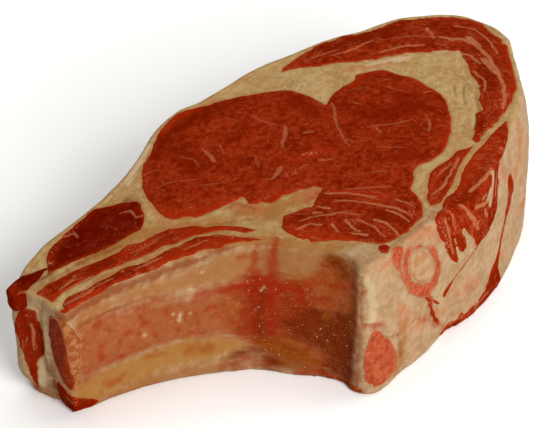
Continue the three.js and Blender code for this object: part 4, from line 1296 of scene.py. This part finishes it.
def skin_shell():
    """The fat and skin of the walls: rows from the lower face out, up the wall, over the rounded
    edge and a little way in, closed by lids that lie under the cut faces."""
    line = WALL.line
    x = line.edge[:, 0]
    top = cut_height(x)
    turn = np.linspace(0, np.pi / 2, FOOT_ROWS)
    v = np.hstack([
        CUT_EDGE * (1 - np.cos(turn)) + 0 * top[:, None],
        CUT_EDGE + (top[:, None] - 2 * CUT_EDGE) * np.linspace(0, 1, WALL_ROWS)[1:-1],
        top[:, None] + np.array(OVER_EDGE),
    ]).T
    s = np.broadcast_to(WALL.s, v.shape)
    below = np.zeros(v.shape)
    below[:FOOT_ROWS] = (CUT_EDGE * (1 - np.sin(turn)))[:, None]
    places = np.column_stack([s.ravel(), v.ravel()])
    near_top = (v > top - CUT_EDGE).ravel()
    inside = wall_inside(places)
    across = WALL.place(places[:, 0], places[:, 1], 0.0)
    inside[near_top] = np.maximum(inside[near_top], lean_inside(across[near_top, :2]))
    over = v - top
    level = -sink_from(inside) - below.ravel() - (SEAM_DROP * ease(SEAM, over)).ravel()
    wall = WALL.place(places[:, 0], places[:, 1], level).reshape(*v.shape, 3)
    values = paint_values(places, "wall")
    top_values = paint_values(across[near_top, :2], "top")
    for key, found in values.items():
        found[near_top] = np.minimum(found[near_top], top_values[key])
    values["lean_near"] = -inside
    values["face"] = ease((-CUT_EDGE, CUT_EDGE), over.ravel())

    def lid(shares, rim):
        """Places spread from the outline's midline to a rim of the wall."""
        middle = np.column_stack([np.maximum(line.middle[:, 0], LID_START), line.middle[:, 1]])
        return (middle + shares[:, None, None] * (rim[:, :2] - middle)).reshape(-1, 2)

    under = lid(np.linspace(0, 1, UNDER_RINGS)[:-1], wall[0])
    over = lid(np.linspace(1, 0, OVER_RINGS)[1:], wall[-1])
    under_z = LID_UNDER + LID_RISE * ease(LID_SPREAD, inside_distance(under, ROAST_EDGE))
    over_z = cut_height(over[:, 0]) - LID
    points = np.vstack([
        np.column_stack([under, under_z]), wall.reshape(-1, 3), np.column_stack([over, over_z]),
    ])
    points[:, 2] = np.maximum(points[:, 2], 0.0)
    ends = len(under), len(over)
    for key, found in values.items():
        values[key] = np.pad(np.clip(found, -FAR, FAR), ends, mode="edge")
    return Shell.rings(points, len(points) // len(x), values)


# The fat between the muscles: how far in from the roast's edge and under the muscles it starts,
# its thickness near the edge, the height of its underside elsewhere and its creases.
FAT_IN, FAT_UNDER = 3.6, 1.0
FAT_THIN_EDGE, FAT_THIN, FAT_UNDERSIDE = 5.0, 6.0, 0.25
CREASE_DEPTH, CREASE_SPREAD = 0.9, (-0.3, 1.2)
LUMPS_SPREAD, FAT_SEAM, FAT_MARGIN = (1, 4), (3.0, 4.4), 0.4


class FatFace:
    """The area of the cut face that is fat: inside the roast's edge and outside the muscles."""

    def inside(self, points):
        edge = inside_distance(points, ROAST_EDGE)
        return np.minimum(edge - FAT_IN, FAT_UNDER - lean_inside(points))

    def box(self):
        return ROAST_EDGE.min(axis=0), ROAST_EDGE.max(axis=0)


def fat_face_shell():
    """The fat of the cut faces: a slab between the muscles, sunk under their rims."""

    def make(points):
        x, y = points.T
        edge = inside_distance(points, ROAST_EDGE)
        inside = lean_inside(points)
        values = paint_values(points, "top")
        values["lean_near"] = np.clip(-inside, -FAR, FAR)
        values["face"] = np.ones(len(points))
        creases = path_distance(points, CREASES)
        upper = upper_face(x, y, edge) + top_relief(x, y) - sink_from(inside)
        upper += uneven_by(FAT_LUMPS, x, y) * ease(LUMPS_SPREAD, -inside)
        upper -= CREASE_DEPTH * (1 - ease(CREASE_SPREAD, creases))
        upper -= SEAM_DROP * (1 - ease(FAT_SEAM, edge))
        thin = (edge < FAT_THIN_EDGE) | (x < LOWER_START)
        below = np.where(thin, upper - FAT_THIN, FAT_UNDERSIDE)
        return np.column_stack([points, upper]), np.column_stack([points, below]), values

    return Shell.slab(FatFace(), FAT_STEP, FAT_MARGIN, make)


def rib_shell():
    """The rib inside the hollow wall: a bar with a squared oval section, a little under the
    skin, that shrinks as it goes and closes at both ends."""
    turn = np.linspace(0, 2 * np.pi, RIB_SIDES, endpoint=False)
    section = np.cos(turn), np.sin(turn)
    deep_share, high_share = (np.sign(w) * np.abs(w) ** RIB_SQUARE for w in section)
    along = np.linspace(*RIB_REACH, RIB_ROWS)
    x = WALL.at(along)[0]
    tip = np.minimum(along - along[0], along[-1] - along) / RIB_TIP
    shrink = np.minimum(1, tip)[:, None] ** 0.5
    deep = between(RIB_DEEP, RIB_THIN, x)[:, None] * (1 + RIB_FULL * shrink * deep_share) / 2
    middle, half = (between(pair, RIB_FLARE, x)[:, None] for pair in (RIB_MIDDLE, RIB_HALF))
    high = middle + half * shrink * high_share
    s = np.broadcast_to(along[:, None], deep.shape)
    points = WALL.place(s.ravel(), high.ravel(), -deep.ravel() - RIB_UNDER)
    far = np.full(len(points), float(MARROW_RANGE[1]))
    return Shell.rings(points, len(along), {"rim": far, "marrow": -far})


def lower_shell():
    """The lean under the rib as the lower cut face shows it: a flat pad inside the skin."""
    reach, level = np.array(LOWER_RINGS).T
    points = LOWER_OUTLINE.rings(reach)
    inside = inside_distance(points, LOWER_OUTLINE.edge)
    z = np.repeat(level, len(LOWER_OUTLINE.edge)) * LOWER_TOP
    return Shell.rings(np.column_stack([points, z]), len(reach), lean_values(points, {}, inside))


class Field:
    """A number that varies over a surface. Its operators add Math nodes."""

    def __init__(self, shader, socket):
        self.shader, self.socket = shader, socket

    def math(self, operation, *others):
        values = dict(enumerate([self, *others]))
        return self.shader.node("ShaderNodeMath", {"operation": operation}, values)

    def __add__(self, other):
        return self.math("ADD", other)

    __radd__ = __add__

    def __mul__(self, other):
        return self.math("MULTIPLY", other)

    __rmul__ = __mul__

    def __sub__(self, other):
        return self.math("SUBTRACT", other)

    def __rsub__(self, other):
        return self.shader.node("ShaderNodeMath", {"operation": "SUBTRACT"}, {0: other, 1: self})

    def ramp(self, start, end):
        """Eases from 0 at start to 1 at end, or back if end is the smaller."""
        settings = {"interpolation_type": "SMOOTHSTEP"}
        values = {"Value": self, "From Min": min(start, end), "From Max": max(start, end)}
        eased = self.shader.node("ShaderNodeMapRange", settings, values)
        return eased if start < end else 1 - eased

    def line(self, level, width):
        """A thin curved line where the field passes a level."""
        return (self - level).math("ABSOLUTE").ramp(width, 0.0)


class Shader:
    """A material's nodes, added by plain calls."""

    def __init__(self, name):
        self.material = bpy.data.materials.new(name)
        self.material.use_nodes = True
        self.tree = self.material.node_tree
        self.tree.nodes.clear()
        self.place = self.scaled(self.node("ShaderNodeTexCoord", output="Object"), 1 / MM)

    def node(self, kind, settings=None, values=None, output=0):
        """Adds a node: its settings first, then the value or link of each named socket."""
        made = self.tree.nodes.new(kind)
        for key, value in (settings or {}).items():
            setattr(made, key, value)
        for key, value in (values or {}).items():
            if isinstance(value, Field):
                self.tree.links.new(value.socket, made.inputs[key])
            else:
                made.inputs[key].default_value = value
        return Field(self, made.outputs[output]) if len(made.outputs) else None

    def scaled(self, vector, scale):
        return self.node("ShaderNodeVectorMath", {"operation": "SCALE"}, {0: vector, "Scale": scale})

    def attribute(self, name):
        return self.node("ShaderNodeAttribute", {"attribute_name": name}, output="Fac")

    def noise(self, size, detail=2.0, rough=0.55, place=None, distortion=0.0):
        """Noise from 0 to 1 whose lumps are about size millimetres across."""
        values = {
            "Vector": place or self.place, "Scale": 1 / size, "Detail": detail, "Roughness": rough,
            "Distortion": distortion,
        }
        return self.node("ShaderNodeTexNoise", None, values)

    def cells(self, size, feature="F1", place=None):
        """Distance within cells of about size millimetres, or to their borders."""
        values = {"Vector": place or self.place, "Scale": 1 / size}
        return self.node("ShaderNodeTexVoronoi", {"feature": feature}, values, output="Distance")

    def stretched(self, turn, sizes):
        """The place, turned about the vertical and then divided by a size along each axis."""
        values = {"Vector": self.place, "Rotation": (0, 0, turn), "Scale": sizes}
        return self.node("ShaderNodeMapping", {"vector_type": "TEXTURE"}, values)

    def paint(self, colour):
        """A field as it is, one of the roast's colours by its name, or three numbers as four."""
        if isinstance(colour, Field):
            return colour
        if isinstance(colour, str):
            colour = getattr(bpy.context.scene.roast_colours, colour)
        return (*colour, 1.0)

    def mix(self, factor, first, second):
        """One colour passing to another."""
        values = {0: factor, 6: self.paint(first), 7: self.paint(second)}
        return self.node("ShaderNodeMix", {"data_type": "RGBA"}, values, output=2)

    def finish(self, colour, roughness, height, bump, wet=0.0, **fixed):
        """Joins the colour, roughness, bump and how wet it is to the surface. fixed values are
        the same all over."""
        raised = {"Height": height, "Distance": bump * MM, "Strength": 1.0}
        values = {"Base Color": colour, "Roughness": roughness, "Coat Weight": wet}
        values["Normal"] = self.node("ShaderNodeBump", None, raised)
        values["Coat Roughness"] = WET_ROUGHNESS
        values.update({key.replace("_", " "): value for key, value in fixed.items()})
        surface = self.node("ShaderNodeBsdfPrincipled", None, values)
        self.node("ShaderNodeOutputMaterial", None, {"Surface": surface})
        return self.material


def srgb(red, green, blue):
    """A colour given in display values from 0 to 255, as linear red, green and blue."""
    share = np.array([red, green, blue]) / 255
    linear = np.where(share <= 0.04045, share / 12.92, ((share + 0.055) / 1.055) ** 2.4)
    return tuple(float(value) for value in linear)


LEAN_SHINE = 0.0
FAT_SHINE = 0.02
WET_ROUGHNESS = 0.18
# The four reds of a muscle, as names of colours: deep, main, grain and bright.
LEAN_TINTS = ("lean_deep", "lean", "lean_grain", "lean_bright")
DARK_TINTS = ("dark_deep", "dark_lean", "lean_deep", "dark_bright")
STAINED_TINTS = ("stain_and_shade", "rust", "amber", "amber")


def lean_material(name, tint, strands=0.3, veined=0.5, length=5.0):
    """Raw muscle: mottled grain with short fibres along the piece, curved pale threads, marked
    veins, torn patches whose pale dots show torn fibres and also serve as painted glints of wet
    lean, and a brighter rim that fat is smeared over. strands is how much the fibres show, veined
    how much the marked veins do, and length how long the fibres are."""
    shader = Shader(name)
    rim, vein, torn = (shader.attribute(key) for key in ("rim", "vein", "torn"))
    bright, dark = shader.attribute("bright"), shader.attribute("dark")
    broad, middle, fine = shader.noise(11, 3), shader.noise(3, 4), shader.noise(0.9, 3)
    lengthwise = {0: shader.attribute("along") * (1 / length), 1: shader.attribute("across")}
    place = shader.node("ShaderNodeCombineXYZ", None, lengthwise)
    fibre = shader.noise(1.0, 3, place=place, distortion=1.2)
    red = shader.mix((broad * 0.45 + middle * 0.55).ramp(0.38, 0.6), tint[0], tint[1])
    red = shader.mix((fine * 0.5 + fibre * 0.2 + middle * 0.3).ramp(0.44, 0.6) * 0.45, red, tint[2])
    red = shader.mix(fibre.ramp(0.44, 0.32) * (0.15 + 0.5 * strands), red, tint[0])
    red = shader.mix((dark + broad * 8 - 4).ramp(4.5, -4) * 0.75, red, tint[0])
    red = shader.mix((bright + middle * 5 - 2.5).ramp(2.5, -2.0) * 0.5, red, tint[3])
    threads = shader.noise(8, 3, 0.5).line(0.5, 0.012) * middle.ramp(0.46, 0.6)
    threads = threads + shader.noise(5, 3, 0.5).line(0.46, 0.012) * broad.ramp(0.5, 0.6) * 0.8
    flecks = shader.cells(3.4).ramp(0.16, 0.06) * fine.ramp(0.45, 0.6)
    grainy = fibre.ramp(0.56, 0.68) * broad.ramp(0.42, 0.6) * strands
    pale = (grainy + threads * 0.2 + flecks * 0.3).math("MINIMUM", 0.6)
    red = shader.mix(pale, red, "marbling")
    edge = rim + middle * 3.0 - 1.5
    red = shader.mix(edge.ramp(1.9, 0.3) * 0.5, red, tint[3])
    red = shader.mix(edge.ramp(0.6, -0.5) * 0.75, red, "smear")
    uneven = fine * 0.7 + middle * 0.8 - 0.75
    streak = (vein + uneven).ramp(0.5, -0.35) * (0.5 + middle)
    red = shader.mix((streak * veined).math("MINIMUM", 0.9), red, "marbling")
    # Torn patches: brighter lean with pale dots of torn fibres, which also serve as painted glints of wet
    # lean.
    glint_specks = shader.noise(1.1, 2).ramp(0.52, 0.66)
    patch = (torn + middle * 3 - 1.5).ramp(1.0, -0.8)
    red = shader.mix(patch * 0.35, red, tint[3])
    red = shader.mix(patch * glint_specks * 0.8, red, "torn")
    roughness = 0.52 - fine * 0.12 - patch * 0.15
    height = fine * 0.5 + fibre * 0.5 + middle * 0.5 + streak * 0.2 + patch * glint_specks * 0.6
    wet = middle.ramp(0.56, 0.66) * fine.ramp(0.5, 0.62) * 0.5
    return shader.finish(red, roughness, height, 0.5, wet, Specular_IOR_Level=LEAN_SHINE)


def skin_material(name):
    """Fat, membrane and what shows through them, as soft-edged fields over mottled cream, with
    painted shade in hollows and grooves and painted glints on the membrane.
    """
    shader = Shader(name)
    fields = {key: shader.attribute(key) for key in SKIN_PAINT}
    face, near = shader.attribute("face"), shader.attribute("lean_near")
    broad, middle, fine = shader.noise(14, 3), shader.noise(3.5, 4), shader.noise(1.1, 3)
    along = shader.noise(1.0, 3, place=shader.stretched(-0.2, (10, 6, 1.0)))
    wide = shader.noise(1.0, 3, place=shader.stretched(-0.2, (24, 12, 4)))
    mottled = (broad * 0.5 + middle * 0.5).ramp(0.36, 0.64)
    wall = shader.mix(mottled, "fat_deep", "fat")
    wall = shader.mix(fine.ramp(0.5, 0.75) * 0.3, wall, "fat_pale")
    wall = shader.mix(shader.noise(13, 5, 0.7).ramp(0.54, 0.7) * 0.35, wall, "pink")
    wall = shader.mix(shader.noise(2.6, 4, 0.6).ramp(0.62, 0.72) * 0.35, wall, "tan")
    top = shader.mix(mottled, "top_deep", "top_fat")
    top = shader.mix(fine.ramp(0.48, 0.72) * 0.35, top, "top_pale_and_glint")
    flakes = shader.noise(1.0, 3, place=shader.stretched(0.6, (7, 1.4, 3)), distortion=0.5)
    top = shader.mix(flakes.ramp(0.56, 0.68) * 0.4, top, "top_pale_and_glint")
    top = shader.mix(shader.noise(2.2, 3).ramp(0.6, 0.72) * 0.35, top, "tan")
    top = shader.mix(shader.noise(9, 4, 0.65).ramp(0.54, 0.68) * 0.3, top, "pink")
    colour = shader.mix(face, wall, top)

    def spread(key, ragged, soft, noise):
        """Mask of a field, with its border moved by noise."""
        return (fields[key] + noise * (2 * ragged) - ragged).ramp(soft, -soft)

    def lay(colour, noise, *layers):
        """Lays fields over a colour, each in its own colour and as strong as its last number."""
        for key, ragged, soft, amount in layers:
            colour = shader.mix(spread(key, ragged, soft, noise) * amount, colour, key)
        return colour

    colour = lay(colour, middle, ("tan", 4, 4, 0.8))
    colour = shader.mix(spread("cream", 2, 2, middle), colour, wall)
    colour = lay(colour, middle, ("pink", 3, 3, 0.55))
    colour = shader.mix(near.ramp(1.3, 0.1) * face * 0.45, colour, "tan")
    membrane = ("amber", 5, 3.5, 0.9), ("rust", 6, 5, 0.85), ("olive", 4, 3, 0.8)
    colour = lay(colour, wide, *membrane)
    # Painted shade: the dark field darkens hollows, grooves and the far end of the hollow wall, and also
    # shows dark lean through the membrane.
    dark = spread("dark", 8, 5, wide) * (0.62 + along * 0.6)
    colour = shader.mix(dark.math("MINIMUM", 0.92), colour, "stain_and_shade")
    veiled = spread("amber", 5, 3.5, wide)
    grainy = fine * 0.4 + middle * 0.3 + along * 0.3
    colour = shader.mix(veiled * grainy.ramp(0.49, 0.6) * 0.25, colour, "tan")
    colour = shader.mix(veiled * grainy.ramp(0.49, 0.38) * 0.35, colour, "stain_and_shade")
    bone = spread("bone", 7, 5, wide)
    colour = shader.mix(bone * 0.9, colour, "bone")
    soaked = shader.noise(5, 5, 0.65).ramp(0.46, 0.66) * bone
    colour = shader.mix(soaked * 0.6, colour, "blotch")
    milky = shader.noise(4, 4, 0.6, distortion=0.3).ramp(0.5, 0.7) * bone
    colour = shader.mix(milky * 0.55, colour, "pink")
    colour = lay(colour, middle, ("yellow", 3, 2.6, 0.85), ("orange", 2.5, 2.5, 0.7))
    colour = lay(colour, middle, ("brown", 1.6, 1.6, 0.75), ("blood", 2.4, 2.4, 0.7))
    # Painted glints: small pale dots on the membrane stand in for wet highlights.
    glint_specks = shader.cells(4.2).ramp(0.1, 0.05) + shader.noise(1.5, 2).ramp(0.69, 0.74)
    colour = shader.mix(glint_specks * spread("amber", 2, 2, middle) * 0.55, colour, "top_pale_and_glint")
    colour = shader.mix(spread("pale", 1.0, 0.9, fine) * 0.7, colour, "fat_pale")
    roughness = 0.52 - dark * 0.08 - fine * 0.08
    height = fine * 0.45 + middle * 0.7 + along * 0.3
    wet = middle.ramp(0.56, 0.64) * fine.ramp(0.52, 0.62) * 0.4
    return shader.finish(colour, roughness, height, 0.4, wet, Specular_IOR_Level=FAT_SHINE)


def marrow_material(name, rind, pale=0.5, fade=0.9):
    """Cut spongy bone: granular red marrow with pale bars, and a rind of denser bone that fades
    into the fat. rind and fade are how wide those two are, and pale how much the bars show."""
    shader = Shader(name)
    rim = shader.attribute("rim")
    broad, middle, fine = shader.noise(7, 3), shader.noise(2.4, 3), shader.noise(0.8, 2)
    grainy = shader.cells(1.2, "DISTANCE_TO_EDGE").ramp(0.2, 0.02)
    red = shader.mix((broad * 0.5 + middle * 0.5).ramp(0.4, 0.6), "marrow_deep", "marrow")
    red = shader.mix(grainy * middle.ramp(0.4, 0.56) * pale, red, "marrow_pale")
    uneven = rim + middle * 3.0 - 1.5
    red = shader.mix(uneven.ramp(rind, rind * 0.3) * 0.7, red, "cortex")
    red = shader.mix(uneven.ramp(fade, -0.3), red, "fat")
    height = grainy * 0.6 + fine * 0.6
    return shader.finish(red, 0.5 - fine * 0.12, height, 0.45, Specular_IOR_Level=FAT_SHINE)


def rib_material(name):
    """The rib's sawn end: salmon dense bone with pale flakes, and dark marrow in its middle."""
    shader = Shader(name)
    rim, marrow = shader.attribute("rim"), shader.attribute("marrow")
    middle, fine = shader.noise(2.6, 4), shader.noise(0.8, 2)
    dense = shader.mix(middle.ramp(0.42, 0.6), "bone", "cortex")
    dense = shader.mix(shader.noise(3, 3, distortion=1.2).ramp(0.56, 0.68) * 0.4, dense, "pink")
    soft = shader.mix(middle.ramp(0.38, 0.62), "rib_deep", "rib_marrow")
    grainy = shader.cells(1.1, "DISTANCE_TO_EDGE").ramp(0.2, 0.02) * fine.ramp(0.45, 0.6)
    soft = shader.mix(grainy * 0.3, soft, "bone")
    inner = (marrow + middle * 1.6 - 0.8).ramp(-0.5, 0.5)
    colour = shader.mix(inner, dense, soft)
    colour = shader.mix((rim + middle - 0.5).ramp(0.5, -0.3) * 0.6, colour, "tan")
    height = middle * 0.8 + fine * 0.5 + grainy * 0.4
    return shader.finish(colour, 0.5 - fine * 0.1, height, 0.5, Specular_IOR_Level=FAT_SHINE)


def gristle_material(name):
    """Smooth pale gristle with a faint pink bloom at its rim."""
    shader = Shader(name)
    rim = shader.attribute("rim")
    middle, fine = shader.noise(4, 3), shader.noise(1, 2)
    pale = shader.mix(middle.ramp(0.35, 0.65), "gristle", "fat")
    pale = shader.mix((rim + middle * 3 - 1.5).ramp(2.0, 0.2) * 0.5, pale, "pink")
    height = middle * 0.6 + fine * 0.3
    return shader.finish(pale, 0.45 - fine * 0.08, height, 0.25, Specular_IOR_Level=FAT_SHINE)


def colour_property(name, description, red, green, blue):
    """A colour that the panel shows, given in display values."""
    return FloatVectorProperty(
        name=name, description=description, default=srgb(red, green, blue),
        min=0, max=1, subtype="COLOR", size=3,
    )


class RoastColours(bpy.types.PropertyGroup):
    """Colours of the roast's finishes."""

    lean_deep: colour_property("Deep lean", "Darkest patches of the muscles", 108, 19, 0)
    lean: colour_property("Lean", "Main colour of the muscles", 133, 32, 5)
    lean_grain: colour_property("Lean grain", "Lighter grain of the muscles", 152, 56, 21)
    lean_bright: colour_property("Bright lean", "Rims and freshly cut lean", 154, 38, 7)
    dark_deep: colour_property("Deep dark lean", "Darkest patches of the flank", 88, 10, 0)
    dark_lean: colour_property("Dark lean", "Main colour of the flank and flap", 104, 17, 0)
    dark_bright: colour_property("Bright dark lean", "Rims of the flank and flap", 130, 25, 2)
    marbling: colour_property("Marbling", "Thin fat in the muscles", 166, 99, 64)
    smear: colour_property("Smear", "Fat smeared over a muscle's rim", 156, 84, 46)
    # Also painted glints: the pale dots of torn lean stand in for wet highlights too.
    torn: colour_property("Torn", "Torn pale fibres", 198, 116, 78)
    fat: colour_property("Fat", "Main colour of the walls' fat", 168, 138, 103)
    fat_deep: colour_property("Deep fat", "Darker patches of the walls' fat", 150, 115, 79)
    fat_pale: colour_property("Pale fat", "Whitest fat", 186, 162, 128)
    top_fat: colour_property("Cut fat", "Main colour of the fat on the cut face", 171, 140, 92)
    top_deep: colour_property("Deep cut fat", "Darker patches of the fat on the cut face", 153, 117, 70)
    # Also the colour of painted glints on the membrane of the walls.
    top_pale_and_glint: colour_property("Pale cut fat", "Paler grain of the fat on the cut face", 191, 164, 120)
    tan: colour_property("Tan", "Browned fat round the rib", 145, 91, 42)
    pink: colour_property("Pink", "Blood-tinged fat", 170, 94, 58)
    brown: colour_property("Brown", "Deep lines between fat and lean", 122, 52, 16)
    amber: colour_property("Amber", "Translucent membrane", 146, 62, 16)
    rust: colour_property("Rust", "Lean close under the membrane", 128, 34, 4)
    olive: colour_property("Olive", "Thin browned membrane", 124, 56, 3)
    orange: colour_property("Orange", "Orange spots of the fat", 143, 66, 15)
    yellow: colour_property("Yellow", "Yellow fat under the rib", 151, 101, 42)
    bone: colour_property("Rib", "Membrane over the rib", 142, 72, 32)
    blotch: colour_property("Blotch", "Blood soaked through the rib's membrane", 132, 48, 18)
    blood: colour_property("Blood", "Blood under the membrane", 140, 26, 5)
    # Also the colour of painted shade in the skin's hollows and grooves.
    stain_and_shade: colour_property("Stain", "Dark lean under the membrane", 98, 27, 0)
    marrow: colour_property("Marrow", "Cut marrow", 178, 80, 46)
    marrow_deep: colour_property("Deep marrow", "Darkest marrow", 163, 62, 32)
    marrow_pale: colour_property("Marrow bars", "Bony bars in the marrow", 190, 114, 78)
    cortex: colour_property("Cortex", "Dense bone round the marrow", 166, 106, 64)
    rib_marrow: colour_property("Rib marrow", "Marrow of the rib's end", 132, 42, 7)
    rib_deep: colour_property("Deep rib marrow", "Darkest marrow of the rib's end", 108, 22, 1)
    gristle: colour_property("Gristle", "Gristle in the arch", 158, 113, 72)


class RoastSizes(bpy.types.PropertyGroup):
    """Sizes of the stage."""

    floor: FloatProperty(
        name="Floor", description="Half width of the floor",
        default=4.0, min=1.0, subtype="DISTANCE", unit="LENGTH",
    )
    light: FloatProperty(
        name="Light", description="Width of the main light",
        default=0.9, min=0.1, subtype="DISTANCE", unit="LENGTH",
    )


CAMERA_PLACE = (-0.4561, -0.4578, 0.5033)
CAMERA_AIM = (-0.0129, 0.0175, 0.0312)
CAMERA_LENS, CAMERA_SENSOR = 115.04, 36.0
FLOOR_COLOUR = (254, 253, 251)
FLOOR_SHADE = (248, 247, 245)
# Each lamp: its place, its power and its width as a multiple of the main light's.
LAMPS = {
    "key": ((-0.35, -1.55, 1.1), 37.0, 1),
    "top": ((0.3, 0.5, 2.2), 24.0, 2),
    "side": ((1.6, -0.6, 1.0), 10.0, 1),
}
LAMP_AIM = (0, 0, 0.03)
WORLD_COLOUR, WORLD_STRENGTH = (1, 1, 1, 1), 0.16


def aimed(name, data, place, aim):
    """An object put at a place and turned towards another."""
    made = bpy.data.objects.new(name, data)
    made.location = place
    made.rotation_euler = (Vector(aim) - Vector(place)).to_track_quat("-Z", "Y").to_euler()
    bpy.context.scene.collection.objects.link(made)
    return made


class ROAST_OT_stage(bpy.types.Operator):
    """Makes the floor, the lights and the camera"""

    bl_idname = "roast.stage"
    bl_label = "Stage"

    def execute(self, context):
        sizes = context.scene.roast_sizes
        corner = sizes.floor
        mesh = bpy.data.meshes.new("floor")
        square = [(-corner, -corner, 0), (corner, -corner, 0), (corner, corner, 0), (-corner, corner, 0)]
        mesh.from_pydata(square, [], [(0, 1, 2, 3)])
        shader = Shader("floor")
        speck = shader.noise(6, 2)
        pale = shader.mix(speck * 0.2, srgb(*FLOOR_COLOUR), srgb(*FLOOR_SHADE))
        mesh.materials.append(shader.finish(pale, 0.8 + speck * 0.05, speck, 0.03))
        floor = bpy.data.objects.new("floor", mesh)
        context.scene.collection.objects.link(floor)
        for name, (place, power, width) in LAMPS.items():
            lamp = bpy.data.lights.new(name, "AREA")
            lamp.energy = power
            lamp.size = width * sizes.light
            aimed(name, lamp, place, LAMP_AIM)
        world = bpy.data.worlds.new("studio")
        world.use_nodes = True
        background = world.node_tree.nodes["Background"].inputs
        background["Color"].default_value = WORLD_COLOUR
        background["Strength"].default_value = WORLD_STRENGTH
        context.scene.world = world
        lens = bpy.data.cameras.new("camera")
        lens.lens = CAMERA_LENS
        lens.sensor_width = CAMERA_SENSOR
        context.scene.camera = aimed("camera", lens, CAMERA_PLACE, CAMERA_AIM)
        context.scene.view_settings.view_transform = "Standard"
        return {"FINISHED"}


class ROAST_OT_skin(bpy.types.Operator):
    """Makes the fat and skin that hold everything"""

    bl_idname = "roast.skin"
    bl_label = "Fat and skin"

    def execute(self, context):
        shells = [skin_shell(), fat_face_shell()]
        put_in_scene("fat_skin", shells, skin_material("fat"), "fat_body")
        return {"FINISHED"}


class ROAST_OT_muscles(bpy.types.Operator):
    """Makes the muscles that the upper cut face shows"""

    bl_idname = "roast.muscles"
    bl_label = "Muscles"

    def execute(self, context):
        lean = lean_material("lean", LEAN_TINTS, strands=0.15, veined=0.5, length=2.5)
        lobe = lean_material("lobe_lean", LEAN_TINTS, strands=0.6, veined=0.85, length=7)
        cap = lean_material("cap_lean", LEAN_TINTS, strands=0.6, veined=0.8, length=8)
        dark = lean_material("dark_lean", DARK_TINTS, strands=0.25, veined=0.6)
        finishes = {
            "flank_muscle_outer": dark, "chine_muscle": lobe, "back_muscle_inner": lobe,
            "cap_muscle": cap, "flank_muscle_inner": cap,
        }
        patches = {"flank_muscle_inner": ["end_lean"], "chine_muscle": ["chine_tip"]}
        for name in CUT_PIECES:
            shells = [cut_shell(name), *map(wall_shell, patches.get(name, []))]
            finish = finishes.get(name, lean)
            put_in_scene(name.replace("muscle", "lean") + "_cut", shells, finish, name)
        put_in_scene("tail_flap_cut", [flap_shell()], dark, "tail_flap")
        return {"FINISHED"}


class ROAST_OT_wall_lean(bpy.types.Operator):
    """Makes the lean that shows on the walls"""

    bl_idname = "roast.wall_lean"
    bl_label = "Lean on the walls"

    def execute(self, context):
        stringy = lean_material("wall_lean", LEAN_TINTS, strands=0.8, veined=0.9, length=7)
        strip = lean_material("strip_lean", LEAN_TINTS, strands=0.9, veined=0.7, length=7)
        dark = lean_material("low_lean", STAINED_TINTS, strands=0.5, veined=0.7)
        upper = [wall_shell("rib_muscle_upper")]
        put_in_scene("rib_lean_upper_cut", upper, strip, "rib_muscle_upper")
        for name in ("back_muscle_outer", "cap_strip_inner", "cap_strip_outer", "foot_muscle"):
            put_in_scene(name + "_face", [wall_shell(name)], stringy, name)
        shells = [wall_shell("lower_band"), lower_shell()]
        put_in_scene("rib_lean_lower_face", shells, dark, "rib_muscle_lower")
        return {"FINISHED"}


class ROAST_OT_bones(bpy.types.Operator):
    """Makes the rib and the sawn bones of the chine"""

    bl_idname = "roast.bones"
    bl_label = "Bones"

    def execute(self, context):
        rib = [wall_shell("rib_end"), rib_shell()]
        arch = [wall_shell("arch_bone"), wall_shell("arch_sponge")]
        core = [wall_shell("arch_core", CORE_PROUD)]
        marrow = marrow_material("marrow", rind=0.6)
        arch_marrow = marrow_material("arch_marrow", rind=1.2, pale=0.6, fade=1.6)
        put_in_scene("rib_bone_cut", rib, rib_material("rib_end"), "rib_bone")
        put_in_scene("chine_bone_cut", [wall_shell("chine_bone")], marrow, "chine_bone")
        put_in_scene("arch_bone_cut", arch, arch_marrow, "arch_bone")
        put_in_scene("arch_core_cut", core, gristle_material("gristle"), "arch_core")
        return {"FINISHED"}


STEPS = (ROAST_OT_stage, ROAST_OT_skin, ROAST_OT_muscles, ROAST_OT_wall_lean, ROAST_OT_bones)


class ROAST_PT_panel(bpy.types.Panel):
    """Lists the steps and the colours"""

    bl_label = "Rib roast"
    bl_idname = "ROAST_PT_panel"
    bl_space_type = "VIEW_3D"
    bl_region_type = "UI"
    bl_category = "Roast"

    def draw(self, context):
        for step in STEPS:
            self.layout.operator(step.bl_idname)
        for group in (context.scene.roast_sizes, context.scene.roast_colours):
            for key in group.__annotations__:
                self.layout.prop(group, key)


CLASSES = (RoastColours, RoastSizes, *STEPS, ROAST_PT_panel)


def register():
    for cls in CLASSES:
        bpy.utils.register_class(cls)
    bpy.types.Scene.roast_colours = PointerProperty(type=RoastColours)
    bpy.types.Scene.roast_sizes = PointerProperty(type=RoastSizes)


def unregister():
    del bpy.types.Scene.roast_sizes
    del bpy.types.Scene.roast_colours
    for cls in reversed(CLASSES):
        bpy.utils.unregister_class(cls)


def main():
    """Makes the whole roast."""
    register()
    bpy.ops.roast.stage()
    bpy.ops.roast.skin()
    bpy.ops.roast.muscles()
    bpy.ops.roast.wall_lean()
    bpy.ops.roast.bones()


if __name__ == "__main__":
    main()
